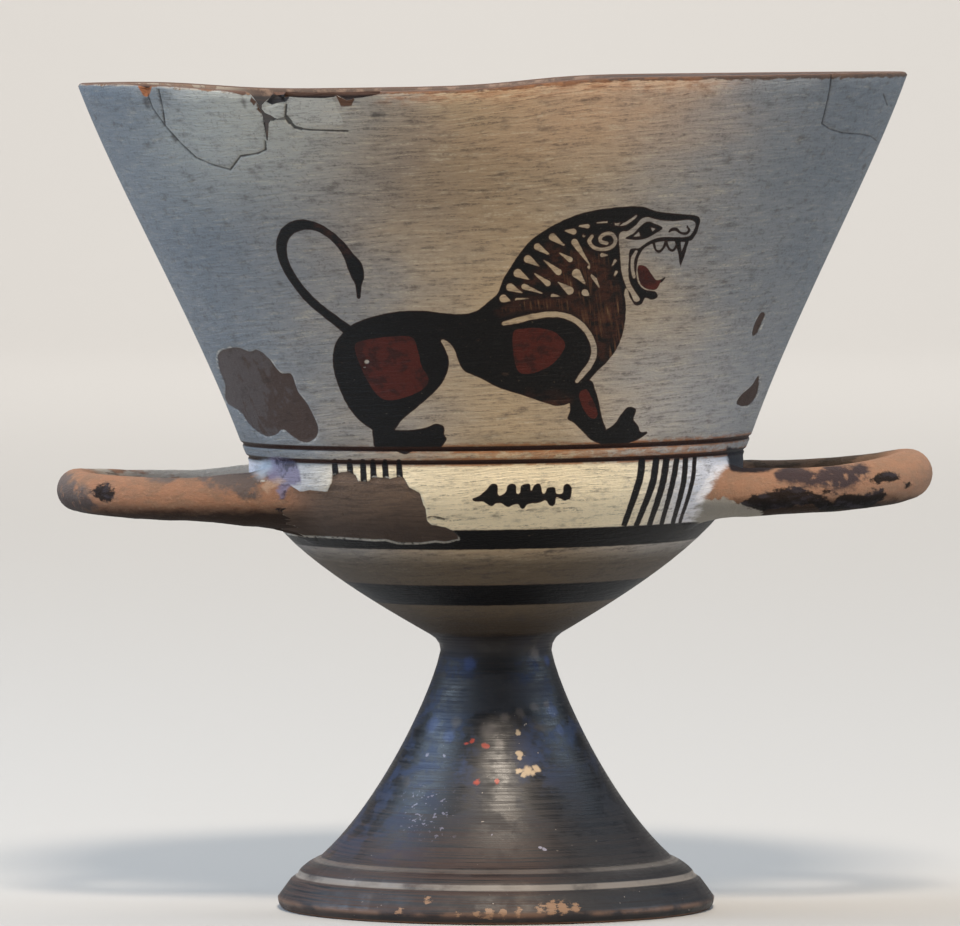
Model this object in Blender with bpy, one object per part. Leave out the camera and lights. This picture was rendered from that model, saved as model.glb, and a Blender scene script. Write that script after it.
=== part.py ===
"""A clay chalice, thrown and fired in one piece with its two loop handles.

Every length is in metres, +Z is up and the floor under the foot is at Z = 0. The foot's axis is
the Z axis, the handles lie along X, and the painted front of the cup faces -Y. The cup is the
same round shape all the way, then leans a little and has a rim that sagged in the kiln.
"""

import math

import bmesh
import bpy
from mathutils import Vector
from mathutils.geometry import interpolate_bezier

# Foot: a low ring with a sharp arris, a stepped moulding, and a flare up to the neck.
FOOT_RADIUS = 0.0401
FOOT_UNDERCUT = 0.0006
STANDING_WIDTH = 0.0036
ARRIS_HEIGHT = 0.0020
RING_HEIGHT = 0.0053
RING_TOP_RADIUS = 0.0377
MOULDING_HEIGHT = 0.0041
MOULDING_TOP_RADIUS = 0.0322
MOULDING_STEP = 0.0013
FOOT_HEIGHT = 0.0473
NECK_RADIUS = 0.0102
FOOT_WALL = 0.0040
FOOT_HOLLOW_HEIGHT = 0.0360
FOOT_HOLLOW_RADIUS = 0.0040

# Bowl: a round lower part that carries the handles, two turned grooves, and a flaring wall.
NECK_FILLET_HEIGHT = 0.0031
NECK_FILLET_WIDTH = 0.0019
LOWER_BOWL_HEIGHT = 0.0322
GROOVE_FOOT_RADIUS = 0.0453
GROOVE_WIDTH = 0.0010
GROOVE_DEPTH = 0.00035
GROOVE_SPACING = 0.0024
WALL_FOOT_RADIUS = 0.0469
UPPER_WALL_HEIGHT = 0.0653
RIM_RADIUS = 0.0759
LIP_THICKNESS = 0.0024
BOWL_WALL = 0.0030
BOWL_FLOOR_THICKNESS = 0.0065

# How the fired cup departs from a true round: the bowl's turned lines climb to the right, its
# upper wall leans to the left, and the rim sagged in its left half.
LINE_CLIMB = math.radians(0.80)
WALL_LEAN = math.radians(0.55)
RIM_SAG = 0.0019
RIM_SAG_CENTRE = -0.023
RIM_SAG_HALF_WIDTH = 0.032
RIM_SAG_REACH = 0.030

# Handles: one horizontal loop on each side, thicker where it is luted to the wall.
HANDLE_HEIGHT = 0.0765
HANDLE_SPREAD = 0.0380
HANDLE_FLARE_LENGTH = 0.0190
HANDLE_ROUNDNESS = 2.5
LEFT_REACH = 0.0806
LEFT_LIMB_ROD = 0.0078
LEFT_BIGHT_ROD = 0.0074
LEFT_ROOT_FLARE = 0.0044
LEFT_RISE = 0.0014
RIGHT_REACH = 0.0800
RIGHT_LIMB_ROD = 0.0080
RIGHT_BIGHT_ROD = 0.0090
RIGHT_ROOT_FLARE = 0.0020
RIGHT_RISE = 0.0022

# Old damage to the rim, left of the painted front: a deep notch, and the low stretch beside it
# where a strip of the lip is lost.
NOTCH_BEARING = math.radians(-32.5)
NOTCH_WIDTH = 0.0034
NOTCH_DEPTH = 0.0062
BROKEN_LIP_LENGTH = 0.0145
BROKEN_LIP_DEPTH = 0.0012

# Shape of each curved stretch: where its two handles lie, as shares of its own width and height.
FLARE_CURVE = ((0.06, 0.19), (0.50, 0.74))
FILLET_CURVE = ((0.00, 0.42), (0.30, 0.75))
LOWER_BOWL_CURVE = ((0.33, 0.20), (1.05, 0.63))
UPPER_WALL_CURVE = ((0.30, 0.36), (0.75, 0.70))
INSIDE_CURVE = ((0.42, 0.02), (1.00, 0.60))

TURNED_SIDES = 60
ROD_SIDES = 10
ROD_RINGS = 21

CLAY_COLOUR = (0.46, 0.43, 0.37, 1.0)
CLAY_ROUGHNESS = 0.55


def curve(start, end, shares, steps):
    """Points from start to end, both included, on one curve bent by its two shares."""
    step = (end[0] - start[0], end[1] - start[1])
    handles = [Vector((start[0] + a * step[0], start[1] + b * step[1])) for a, b in shares]
    points = interpolate_bezier(Vector(start), *handles, Vector(end), steps + 1)
    return [(point.x, point.y) for point in points]


def foot_outline():
    """The outer side of the foot, floor to neck."""
    arris = (FOOT_RADIUS, ARRIS_HEIGHT)
    ring_top = (RING_TOP_RADIUS, RING_HEIGHT)
    step_foot = (RING_TOP_RADIUS - MOULDING_STEP, RING_HEIGHT + 0.35 * MOULDING_HEIGHT)
    moulding_top = (MOULDING_TOP_RADIUS, RING_HEIGHT + MOULDING_HEIGHT)
    shoulder = ((arris[0] * 2 + ring_top[0]) / 3, (arris[1] + ring_top[1] * 2) / 3)
    neck = (NECK_RADIUS, FOOT_HEIGHT)
    flare = curve(neck, moulding_top, FLARE_CURVE, 8)[::-1]
    return [(FOOT_RADIUS - FOOT_UNDERCUT, 0.0), arris, shoulder, ring_top, step_foot] + flare


def groove(radius, height, lean_out):
    """One turned groove, centred at this height on a wall that leans out by lean_out per metre."""
    half = GROOVE_WIDTH / 2
    return [
        (radius - half * lean_out, height - half),
        (radius - GROOVE_DEPTH, height),
        (radius + half * lean_out, height + half),
    ]


def bowl_heights():
    """Heights of the bowl's stations: fillet top, lower and upper groove, rim."""
    fillet_top = FOOT_HEIGHT + NECK_FILLET_HEIGHT
    grooves_foot = fillet_top + LOWER_BOWL_HEIGHT
    lower_groove = grooves_foot + GROOVE_WIDTH
    upper_groove = lower_groove + GROOVE_SPACING
    rim = upper_groove + GROOVE_WIDTH / 2 + UPPER_WALL_HEIGHT
    return fillet_top, grooves_foot, lower_groove, upper_groove, rim


def bowl_outline():
    """The outer side of the bowl, from just above the neck to just under the lip."""
    fillet_top, grooves_foot, lower_groove, upper_groove, rim = bowl_heights()
    neck = (NECK_RADIUS, FOOT_HEIGHT)
    fillet = (NECK_RADIUS + NECK_FILLET_WIDTH, fillet_top)
    wall_foot = (WALL_FOOT_RADIUS, upper_groove + GROOVE_WIDTH / 2)
    lean_out = (WALL_FOOT_RADIUS - GROOVE_FOOT_RADIUS) / (wall_foot[1] - grooves_foot)

    def radius_at(height):
        return GROOVE_FOOT_RADIUS + (height - grooves_foot) * lean_out

    lower = curve(fillet, (GROOVE_FOOT_RADIUS, grooves_foot), LOWER_BOWL_CURVE, 8)
    upper = curve(wall_foot, (RIM_RADIUS, rim), UPPER_WALL_CURVE, 6)
    grooves = groove(radius_at(lower_groove), lower_groove, lean_out)
    grooves += groove(radius_at(upper_groove), upper_groove, lean_out)[:2]
    return curve(neck, fillet, FILLET_CURVE, 2)[1:] + lower[1:] + grooves + upper


def outer_radius(height):
    """Radius of the bowl's outer side at this height."""
    outline = bowl_outline()
    for (low_radius, low), (high_radius, high) in zip(outline, outline[1:]):
        if low <= height <= high:
            share = (height - low) / max(high - low, 1e-9)
            return low_radius + share * (high_radius - low_radius)
    return outline[-1][0]


def lip():
    """The rounded lip, from the outer side over the top to the inside."""
    radius, rim = bowl_outline()[-1]
    inside = radius - LIP_THICKNESS
    rounding = LIP_THICKNESS / 4
    return [
        (radius - rounding * 0.4, rim + rounding * 0.9),
        (inside + rounding, rim + rounding * 0.9),
        (inside, rim),
    ]


def bowl_inside():
    """The inside of the bowl, from under the lip down to the middle of its floor."""
    _, grooves_foot, _, upper_groove, rim = bowl_heights()
    top = (RIM_RADIUS - LIP_THICKNESS, rim)
    waist = (WALL_FOOT_RADIUS - BOWL_WALL, upper_groove)
    shoulder = (GROOVE_FOOT_RADIUS - BOWL_WALL, grooves_foot)
    floor = (0.0, FOOT_HEIGHT + BOWL_FLOOR_THICKNESS)
    wall = curve(waist, top, UPPER_WALL_CURVE, 5)[::-1][1:]
    lower = curve(floor, shoulder, INSIDE_CURVE, 8)[::-1]
    return wall + lower


def foot_hollow():
    """The hollow under the foot, from the middle of its roof down to the standing ring."""
    mouth = (FOOT_RADIUS - FOOT_UNDERCUT - STANDING_WIDTH, 0.0)
    roof = (FOOT_HOLLOW_RADIUS, FOOT_HOLLOW_HEIGHT)
    throat = (MOULDING_TOP_RADIUS - FOOT_WALL, RING_HEIGHT + MOULDING_HEIGHT)
    return [(0.0, FOOT_HOLLOW_HEIGHT)] + curve(roof, throat, FLARE_CURVE, 5) + [mouth]


def turned_cup():
    """The whole cup as one closed turned shape: hollow, foot, bowl, lip and inside."""
    profile = foot_hollow() + foot_outline() + bowl_outline() + lip() + bowl_inside()
    mesh = bmesh.new()
    points = [mesh.verts.new((radius, 0.0, height)) for radius, height in profile]
    edges = [mesh.edges.new(pair) for pair in zip(points, points[1:])]
    bmesh.ops.spin(
        mesh,
        geom=points + edges,
        cent=(0, 0, 0),
        axis=(0, 0, 1),
        angle=math.tau,
        steps=TURNED_SIDES,
        use_merge=True,
    )
    bmesh.ops.remove_doubles(mesh, verts=mesh.verts, dist=1e-6)
    bmesh.ops.recalc_face_normals(mesh, faces=mesh.faces)
    return mesh


def loop_path(side, reach, rise):
    """Centres of a handle's rings, root to root: a rounded U that rises to its outer end."""
    spread = HANDLE_SPREAD / 2
    root = math.sqrt((outer_radius(HANDLE_HEIGHT) - BOWL_WALL / 2) ** 2 - spread**2)
    power = 2 / HANDLE_ROUNDNESS
    path = []
    for ring in range(ROD_RINGS):
        turn = math.pi * ring / (ROD_RINGS - 1)
        out = max(math.sin(turn), 0.0) ** power
        across = math.copysign(abs(math.cos(turn)) ** power, math.cos(turn))
        along = root + (reach - root) * out
        path.append(Vector((side * along, spread * across, HANDLE_HEIGHT + rise * out**4)))
    return path


def handle(side, reach, limb_rod, bight_rod, root_flare, rise):
    """One loop handle: a rod swept along its path, with both ends inside the bowl's wall."""
    path = loop_path(side, reach - bight_rod / 2, rise)
    mesh = bmesh.new()
    rings = []
    for place, centre in enumerate(path):
        before = path[max(place - 1, 0)]
        after = path[min(place + 1, len(path) - 1)]
        along = (after - before).normalized()
        across = along.cross(Vector((0, 0, 1))).normalized()
        up = across.cross(along)
        out = (centre.x - path[0].x) / (path[len(path) // 2].x - path[0].x)
        from_root = min((centre - path[0]).length, (centre - path[-1]).length)
        swell = max(0.0, 1.0 - from_root / HANDLE_FLARE_LENGTH) ** 1.5
        rod = limb_rod + (bight_rod - limb_rod) * out**2 + root_flare * swell
        ring = []
        for corner in range(ROD_SIDES):
            turn = math.tau * corner / ROD_SIDES
            ring.append(centre + rod / 2 * (math.cos(turn) * across + math.sin(turn) * up))
        rings.append(ring)
    for end in (rings[0], rings[-1]):
        for point in end:
            inside_wall = outer_radius(point.z) - BOWL_WALL / 2
            point.x = side * math.sqrt(inside_wall**2 - point.y**2)
    grid = [[mesh.verts.new(point) for point in ring] for ring in rings]
    for first, second in zip(grid, grid[1:]):
        for corner in range(ROD_SIDES):
            following = (corner + 1) % ROD_SIDES
            mesh.faces.new((first[corner], first[following], second[following], second[corner]))
    mesh.faces.new(grid[0][::-1])
    mesh.faces.new(grid[-1])
    bmesh.ops.recalc_face_normals(mesh, faces=mesh.faces)
    return mesh


def fired(point):
    """Where a point of the true round cup ends up after firing: off centre, leaning, sagging."""
    _, _, _, upper_groove, rim = bowl_heights()
    on_bowl = min(max(point.z - FOOT_HEIGHT, 0.0) / NECK_FILLET_HEIGHT, 1.0)
    above_grooves = max(point.z - upper_groove, 0.0)
    near_rim = min(max(1.0 - (rim - point.z) / RIM_SAG_REACH, 0.0), 1.0)
    across_sag = (point.x - RIM_SAG_CENTRE) / RIM_SAG_HALF_WIDTH
    sag = RIM_SAG * math.exp(-(across_sag**4)) * near_rim**2
    shift = above_grooves * math.tan(WALL_LEAN)
    climb = point.x * math.tan(LINE_CLIMB) * on_bowl
    return point + Vector((-shift, 0.0, climb - sag))


def rim_breaks():
    """The cutter for the notch and the lost strip of lip: an outline run in through the wall."""
    rim = bowl_heights()[-1]
    clear = LIP_THICKNESS + RIM_SAG
    half = NOTCH_WIDTH / 2
    outline = [(-half, clear), (-half, 0.0), (0.0, -NOTCH_DEPTH), (half, -BROKEN_LIP_DEPTH)]
    outline += [(BROKEN_LIP_LENGTH, -BROKEN_LIP_DEPTH), (BROKEN_LIP_LENGTH + half, clear)]
    outward = Vector((math.sin(NOTCH_BEARING), -math.cos(NOTCH_BEARING), 0.0))
    across = Vector((math.cos(NOTCH_BEARING), math.sin(NOTCH_BEARING), 0.0))
    mesh = bmesh.new()
    ends = []
    for distance in (RIM_RADIUS + BOWL_WALL, RIM_RADIUS - 5 * BOWL_WALL):
        corners = [outward * distance + across * aside + Vector((0, 0, rim + up)) for aside, up in outline]
        ends.append([mesh.verts.new(fired(corner)) for corner in corners])
    mesh.faces.new(ends[0])
    mesh.faces.new(ends[1][::-1])
    for corner in range(len(outline)):
        before = corner - 1
        mesh.faces.new((ends[0][before], ends[0][corner], ends[1][corner], ends[1][before]))
    bmesh.ops.recalc_face_normals(mesh, faces=mesh.faces)
    return add_object("rim breaks", mesh)


def add_object(name, mesh):
    data = bpy.data.meshes.new(name)
    mesh.to_mesh(data)
    mesh.free()
    thing = bpy.data.objects.new(name, data)
    bpy.context.scene.collection.objects.link(thing)
    return thing


def hide_tool(thing):
    thing.hide_render = True
    thing.display_type = "WIRE"


def boolean(thing, tool, operation):
    modifier = thing.modifiers.new(f"{operation.title()} {tool.name}", "BOOLEAN")
    modifier.operation = operation
    modifier.object = tool
    hide_tool(tool)


def fired_clay():
    material = bpy.data.materials.new("pale slipped clay")
    material.use_nodes = True
    shader = material.node_tree.nodes["Principled BSDF"]
    shader.inputs["Base Color"].default_value = CLAY_COLOUR
    shader.inputs["Roughness"].default_value = CLAY_ROUGHNESS
    shader.inputs["Metallic"].default_value = 0.0
    return material


def build():
    for thing in list(bpy.data.objects):
        bpy.data.objects.remove(thing)
    cup = turned_cup()
    for vertex in cup.verts:
        vertex.co = fired(vertex.co)
    chalice = add_object("chalice", cup)
    for name, side, *sizes in (
        ("left handle", -1, LEFT_REACH, LEFT_LIMB_ROD, LEFT_BIGHT_ROD, LEFT_ROOT_FLARE, LEFT_RISE),
        ("right handle", 1, RIGHT_REACH, RIGHT_LIMB_ROD, RIGHT_BIGHT_ROD, RIGHT_ROOT_FLARE, RIGHT_RISE),
    ):
        loop = handle(side, *sizes)
        for vertex in loop.verts:
            vertex.co = fired(vertex.co)
        boolean(chalice, add_object(name, loop), "UNION")
    boolean(chalice, rim_breaks(), "DIFFERENCE")
    chalice.data.materials.append(fired_clay())
    chalice.data.shade_smooth()


build()
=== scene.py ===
"""A slip-painted clay chalice, thrown in one piece on a flaring foot, with two loop handles.

Sizes are in millimetres and become metres where a mesh is made. The cup is first built true and
round, as it left the wheel, and then takes the lean and sag that the kiln gave it. What is
painted on it is drawn on the front plane of the true cup, x across and z up, as (x, z), and a
brush stroke's points also give its width there.
"""

import math

import bmesh
import bpy
import numpy as np
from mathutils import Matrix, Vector
from mathutils.geometry import interpolate_bezier


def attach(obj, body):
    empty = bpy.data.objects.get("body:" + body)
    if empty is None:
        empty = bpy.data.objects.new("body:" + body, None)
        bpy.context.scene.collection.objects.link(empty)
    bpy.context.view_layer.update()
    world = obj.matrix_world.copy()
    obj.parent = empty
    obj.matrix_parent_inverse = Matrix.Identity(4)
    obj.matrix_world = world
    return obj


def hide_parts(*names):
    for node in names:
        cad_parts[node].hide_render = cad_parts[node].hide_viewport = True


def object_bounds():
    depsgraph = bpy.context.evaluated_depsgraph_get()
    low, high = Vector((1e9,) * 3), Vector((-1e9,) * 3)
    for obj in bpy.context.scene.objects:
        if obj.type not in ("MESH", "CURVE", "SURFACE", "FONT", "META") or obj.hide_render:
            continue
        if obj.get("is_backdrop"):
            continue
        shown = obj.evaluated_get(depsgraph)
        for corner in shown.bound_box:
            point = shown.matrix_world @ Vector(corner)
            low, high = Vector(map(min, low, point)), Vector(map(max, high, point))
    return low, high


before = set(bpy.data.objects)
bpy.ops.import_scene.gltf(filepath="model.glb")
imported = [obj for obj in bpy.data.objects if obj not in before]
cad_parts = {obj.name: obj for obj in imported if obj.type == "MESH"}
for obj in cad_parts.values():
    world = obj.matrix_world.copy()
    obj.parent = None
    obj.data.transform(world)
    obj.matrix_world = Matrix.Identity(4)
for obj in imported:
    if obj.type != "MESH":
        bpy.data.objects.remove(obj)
cad_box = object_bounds()


# The cup as it left the wheel: one piece of pale clay, thrown hollow and turned true. Its line
# starts in the hollow under the foot, rounds the standing ring, climbs the foot and the bowl,
# and comes over the lip to the middle of the floor inside.
MM = 0.001
FOOT_RADIUS = 40.1
FOOT_UNDERCUT = 0.6
STANDING_WIDTH = 3.6
STANDING_ROUND = 0.5
ARRIS_HEIGHT = 2.0
RING_BEVEL = (38.5, 4.2)
RING_TOP = (37.7, 5.3)
RING_HOLLOW = (36.7, 6.0)
RING_LINE = (36.3, 6.35)
STEP_FOOT = (36.2, 6.75)
MOULDING_TOP = (32.2, 9.4)
NECK = (10.2, 47.3)
HOLLOW_ROOF = (4.0, 36.0)
FOOT_WALL = 4.0
FILLET_TOP = (12.1, 50.4)
GROOVES_FOOT = (45.3, 82.6)
GROOVE_HEIGHTS = (83.6, 86.0)
GROOVE_WIDTH = 1.0
GROOVE_DEPTH = 0.35
WALL_FOOT = (46.9, 86.5)
RIM = (75.9, 151.8)
LIP_THICKNESS = 2.4
BOWL_WALL = 3.0
BOWL_FLOOR = 53.8
FLARE_CURVE = ((0.06, 0.19), (0.50, 0.74))
FILLET_CURVE = ((0.00, 0.42), (0.30, 0.75))
MOULDING_CURVE = ((0.25, 0.45), (0.65, 0.80))
LOWER_BOWL_CURVE = ((0.33, 0.20), (1.05, 0.63))
WALL_CURVE = ((0.30, 0.36), (0.75, 0.70))
INSIDE_CURVE = ((0.42, 0.02), (1.00, 0.60))
ROUNDING_CURVE = ((0.55, 0.00), (1.00, 0.45))
SHEET_COLUMNS = 120


def bend(start, end, shares, steps=24):
    """Points on one curve; its shares say where its two handles lie, along its width and height."""
    step = Vector(end) - Vector(start)
    handles = [Vector((start[0] + a * step.x, start[1] + b * step.y)) for a, b in shares]
    points = interpolate_bezier(Vector(start), *handles, Vector(end), steps + 1)
    return [(point.x, point.y) for point in points]


def turned_groove(height):
    """One shallow round groove in the wall between the lower bowl and the upper wall."""
    lean_out = (WALL_FOOT[0] - GROOVES_FOOT[0]) / (WALL_FOOT[1] - GROOVES_FOOT[1])
    points = []
    for share in np.linspace(-0.5, 0.5, 9):
        level = height + share * GROOVE_WIDTH
        depth = GROOVE_DEPTH * math.cos(math.pi * share) ** 2
        points.append((GROOVES_FOOT[0] + (level - GROOVES_FOOT[1]) * lean_out - depth, level))
    return points


def round_lip(edge, inwards, up):
    """A point of the lip's rounding, so many shares of it in from its edge and up."""
    rounding = LIP_THICKNESS / 4
    return (edge[0] + inwards * rounding, edge[1] + up * rounding)


throat = (MOULDING_TOP[0] - FOOT_WALL, MOULDING_TOP[1])
foot_edge = FOOT_RADIUS - FOOT_UNDERCUT
ring_inside = (foot_edge - STANDING_WIDTH, 0)
ring_outside = (foot_edge - STANDING_ROUND, 0)
waist = (WALL_FOOT[0] - BOWL_WALL, GROOVE_HEIGHTS[1])
shoulder = (GROOVES_FOOT[0] - BOWL_WALL, GROOVES_FOOT[1])
low_groove, high_groove = (turned_groove(height) for height in GROOVE_HEIGHTS)
lip_inside = (RIM[0] - LIP_THICKNESS, RIM[1])
lip_outer = [RIM, round_lip(RIM, -0.4, 0.7), round_lip(RIM, -1.2, 1.0)]
lip_inner = [round_lip(lip_inside, 1.2, 1.0), round_lip(lip_inside, 0.3, 0.6), lip_inside]

# Each stretch of the line: its points, and how many rows of the sheet it gets.
hidden_foot = [
    ([(0, HOLLOW_ROOF[1]), HOLLOW_ROOF], 2),
    (bend(HOLLOW_ROOF, throat, FLARE_CURVE), 12),
    ([throat, ring_inside], 4),
    ([ring_inside, ring_outside], 2),
]
outer_line = [
    (bend(ring_outside, (FOOT_RADIUS, ARRIS_HEIGHT), ROUNDING_CURVE, 6), 4),
    ([(FOOT_RADIUS, ARRIS_HEIGHT), RING_BEVEL, RING_TOP], 4),
    ([RING_TOP, RING_HOLLOW, RING_LINE, STEP_FOOT], 4),
    (bend(STEP_FOOT, MOULDING_TOP, MOULDING_CURVE, 8), 5),
    (bend(NECK, MOULDING_TOP, FLARE_CURVE)[::-1], 18),
    (bend(NECK, FILLET_TOP, FILLET_CURVE, 8), 3),
    (bend(FILLET_TOP, GROOVES_FOOT, LOWER_BOWL_CURVE, 32), 16),
    (low_groove[:5], 2),
    (low_groove[4:], 2),
    ([low_groove[-1], high_groove[0]], 1),
    (high_groove[:5], 2),
    (high_groove[4:], 2),
    (bend(WALL_FOOT, RIM, WALL_CURVE, 32), 24),
]
over_the_lip = [
    (lip_outer, 2),
    ([lip_outer[-1], lip_inner[0]], 1),
    (lip_inner, 2),
    (bend(waist, lip_inside, WALL_CURVE)[::-1], 22),
    ([waist, shoulder], 1),
    (bend((0, BOWL_FLOOR), shoulder, INSIDE_CURVE)[::-1], 16),
]


def along(points):
    """Length from the first point to each point, along the line through them."""
    steps = np.diff(np.array(points, float), axis=0)
    return np.concatenate([[0.0], np.cumsum(np.hypot(steps[:, 0], steps[:, 1]))])


line = []
rows = [0.0]
for points, count in hidden_foot + outer_line + over_the_lip:
    start = along(line + points[:1])[-1] if line else 0.0
    rows += list(start + np.linspace(0, along(points)[-1], count + 1)[1:])
    line += points if not line else points[1:]
outer_points = np.vstack([points for points, _ in outer_line])
outer_start = along(np.vstack([points for points, _ in hidden_foot]))[-1]


def outer_radius(height):
    """Radius of the true cup's outer side at each height."""
    return np.interp(height, outer_points[:, 1], outer_points[:, 0])


# Where the sheet is made finer before it is turned, because a handle or a break meets it there:
# bearings in degrees from the front, heights, and how many times each cell is halved. The cells
# at the break are made finer over the lip as well.
FINER = [
    ((-122, -52), (68, 87), 2),
    ((52, 122), (68, 87), 2),
    ((-44, -14), (142, 153), 1),
]
OVER_LIP = 4.0


def new_object(name, mesh):
    data = bpy.data.meshes.new(name)
    mesh.to_mesh(data)
    mesh.free()
    thing = bpy.data.objects.new(name, data)
    bpy.context.scene.collection.objects.link(thing)
    return thing


def halve(mesh, wanted, crossed=()):
    """Halves every edge whose two ends are wanted, and every edge of a face that is crossed."""
    marked = {point for point in mesh.verts if wanted(point)}
    chosen = {edge for edge in mesh.edges if marked.issuperset(edge.verts)}
    chosen.update(edge for cut in crossed for face in cut.link_faces for edge in face.edges)
    edges = [edge for edge in mesh.edges if edge in chosen]
    bmesh.ops.subdivide_edges(mesh, edges=edges, cuts=1, use_grid_fill=True, use_single_edge=True)


def wheel_sheet():
    """The cup's skin laid flat: x is the bearing from the front, y the length along the line."""
    sheet = bmesh.new()
    bearings = np.radians(np.linspace(-180, 180, SHEET_COLUMNS + 1))
    grid = [[sheet.verts.new((bearing, length * MM, 0)) for bearing in bearings] for length in rows]
    for low, high in zip(grid, grid[1:]):
        for column in range(SHEET_COLUMNS):
            sheet.faces.new((low[column], low[column + 1], high[column + 1], high[column]))
    lengths = outer_start + along(outer_points)
    for bearings, heights, times in FINER:
        left, right = np.radians(bearings)
        low, high = np.interp(heights, outer_points[:, 1], lengths) * MM
        high += OVER_LIP * MM if heights[1] > RIM[1] else 0
        for _ in range(times):
            halve(sheet, lambda point: left < point.co.x < right and low < point.co.y < high)
    return new_object("wheel sheet", sheet)


class Number:
    """A number that a node tree works out at each place. A sum with it adds a node to the tree."""

    def __init__(self, wiring, socket):
        self.wiring = wiring
        self.socket = socket

    def __add__(self, other):
        return self.wiring.sum("ADD", self, other)

    def __sub__(self, other):
        return self.wiring.sum("SUBTRACT", self, other)

    def __rsub__(self, other):
        return self.wiring.sum("SUBTRACT", other, self)

    def __mul__(self, other):
        return self.wiring.sum("MULTIPLY", self, other)

    def __pow__(self, other):
        return self.wiring.sum("POWER", self, other)

    def __abs__(self):
        return self.wiring.sum("ABSOLUTE", self)


class Wiring:
    """Adds nodes to one tree and joins them, so that a tree reads as a list of steps."""

    def __init__(self, tree):
        self.tree = tree

    def node(self, kind, inputs=(), **settings):
        made = self.tree.nodes.new(kind)
        for name, value in settings.items():
            setattr(made, name, value)
        for name, value in dict(inputs).items():
            self.feed(made.inputs[name], value)
        return made

    def feed(self, socket, value):
        if isinstance(value, Number):
            value = value.socket
        if isinstance(value, bpy.types.NodeSocket):
            self.tree.links.new(value, socket)
        else:
            socket.default_value = value

    def sum(self, operation, *values, clamp=False):
        step = self.node("ShaderNodeMath", enumerate(values), operation=operation, use_clamp=clamp)
        return Number(self, step.outputs[0])

    def parts(self, vector):
        split = self.node("ShaderNodeSeparateXYZ", {0: vector})
        return [Number(self, part) for part in split.outputs]

    def join(self, x, y, z):
        return self.node("ShaderNodeCombineXYZ", {0: x, 1: y, 2: z}).outputs[0]


def new_tree(name, sizes, others):
    """A Geometry Nodes tree with named inputs: its wiring, and what comes in by each name."""
    tree = bpy.data.node_groups.new(name, "GeometryNodeTree")
    kinds = {"Geometry": "Geometry", **{size: "Float" for size in sizes}, **others}
    for label, kind in kinds.items():
        tree.interface.new_socket(name=label, in_out="INPUT", socket_type="NodeSocket" + kind)
    tree.interface.new_socket(name="Geometry", in_out="OUTPUT", socket_type="NodeSocketGeometry")
    wiring = Wiring(tree)
    sockets = wiring.node("NodeGroupInput").outputs
    given = {label: sockets[label] for label in kinds}
    given.update({size: Number(wiring, sockets[size]) for size in sizes})
    return wiring, given


def finish_tree(wiring, geometry, material):
    """Ends a tree as every tree here ends: plain mesh, smooth, in its material."""
    real = wiring.node("GeometryNodeRealizeInstances", {"Geometry": geometry}).outputs[0]
    smooth = wiring.node("GeometryNodeSetShadeSmooth", {"Geometry": real}).outputs[0]
    painted = wiring.node("GeometryNodeSetMaterial", {"Geometry": smooth, "Material": material})
    wiring.node("NodeGroupOutput", {0: painted.outputs[0]})
    return wiring.tree


def settle(thing):
    """Makes what the object's modifiers show its own mesh, and takes the modifiers off."""
    bpy.context.view_layer.update()
    shown = thing.evaluated_get(bpy.context.evaluated_depsgraph_get())
    mesh = bpy.data.meshes.new_from_object(shown)
    thing.modifiers.clear()
    thing.data = mesh


def run_tree(thing, tree, values):
    """Puts the tree on the object, sets its named inputs and keeps the result as a plain mesh."""
    modifier = thing.modifiers.new(tree.name, "NODES")
    modifier.node_group = tree
    for item in tree.interface.items_tree:
        if item.in_out == "INPUT" and item.name in values:
            modifier[item.identifier] = values[item.name]
    settle(thing)


def turning_tree():
    """Turns the flat sheet: each point goes to its place on the line, and round by its bearing."""
    others = {"Line": "Object", "Material": "Material"}
    wiring, given = new_tree("turn on the wheel", ["Seam"], others)
    bearing, length, _ = wiring.parts(wiring.node("GeometryNodeInputPosition").outputs[0])
    line_in = wiring.node("GeometryNodeObjectInfo", {"Object": given["Line"]}).outputs["Geometry"]
    sample = wiring.node("GeometryNodeSampleCurve", mode="LENGTH", use_all_curves=True)
    wiring.feed(sample.inputs["Curves"], line_in)
    wiring.feed(sample.inputs["Length"], length)
    radius, _, height = wiring.parts(sample.outputs["Position"])
    across = radius * wiring.sum("SINE", bearing)
    forward = radius * wiring.sum("COSINE", bearing)
    place = wiring.join(across, forward * -1.0, height)
    sheet = {"Geometry": given["Geometry"], "Position": place}
    turned = wiring.node("GeometryNodeSetPosition", sheet).outputs[0]
    seam = {"Geometry": turned, "Distance": given["Seam"]}
    closed = wiring.node("GeometryNodeMergeByDistance", seam).outputs[0]
    return finish_tree(wiring, closed, given["Material"])


def line_curve():
    curve = bpy.data.curves.new("turned line", "CURVE")
    curve.dimensions = "3D"
    spline = curve.splines.new("POLY")
    spline.points.add(len(line) - 1)
    for point, (radius, height) in zip(spline.points, line):
        point.co = (radius * MM, 0, height * MM, 1)
    thing = bpy.data.objects.new("turned line", curve)
    bpy.context.scene.collection.objects.link(thing)
    return thing


clay = bpy.data.materials.new("slipped and painted clay")
glazed_clay = bpy.data.materials.new("dark glazed clay")
chalice = wheel_sheet()
template = line_curve()
run_tree(chalice, turning_tree(), {"Line": template, "Seam": 0.002 * MM, "Material": clay})
bpy.data.objects.remove(template)
chalice.name = "painted_chalice"


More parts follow.
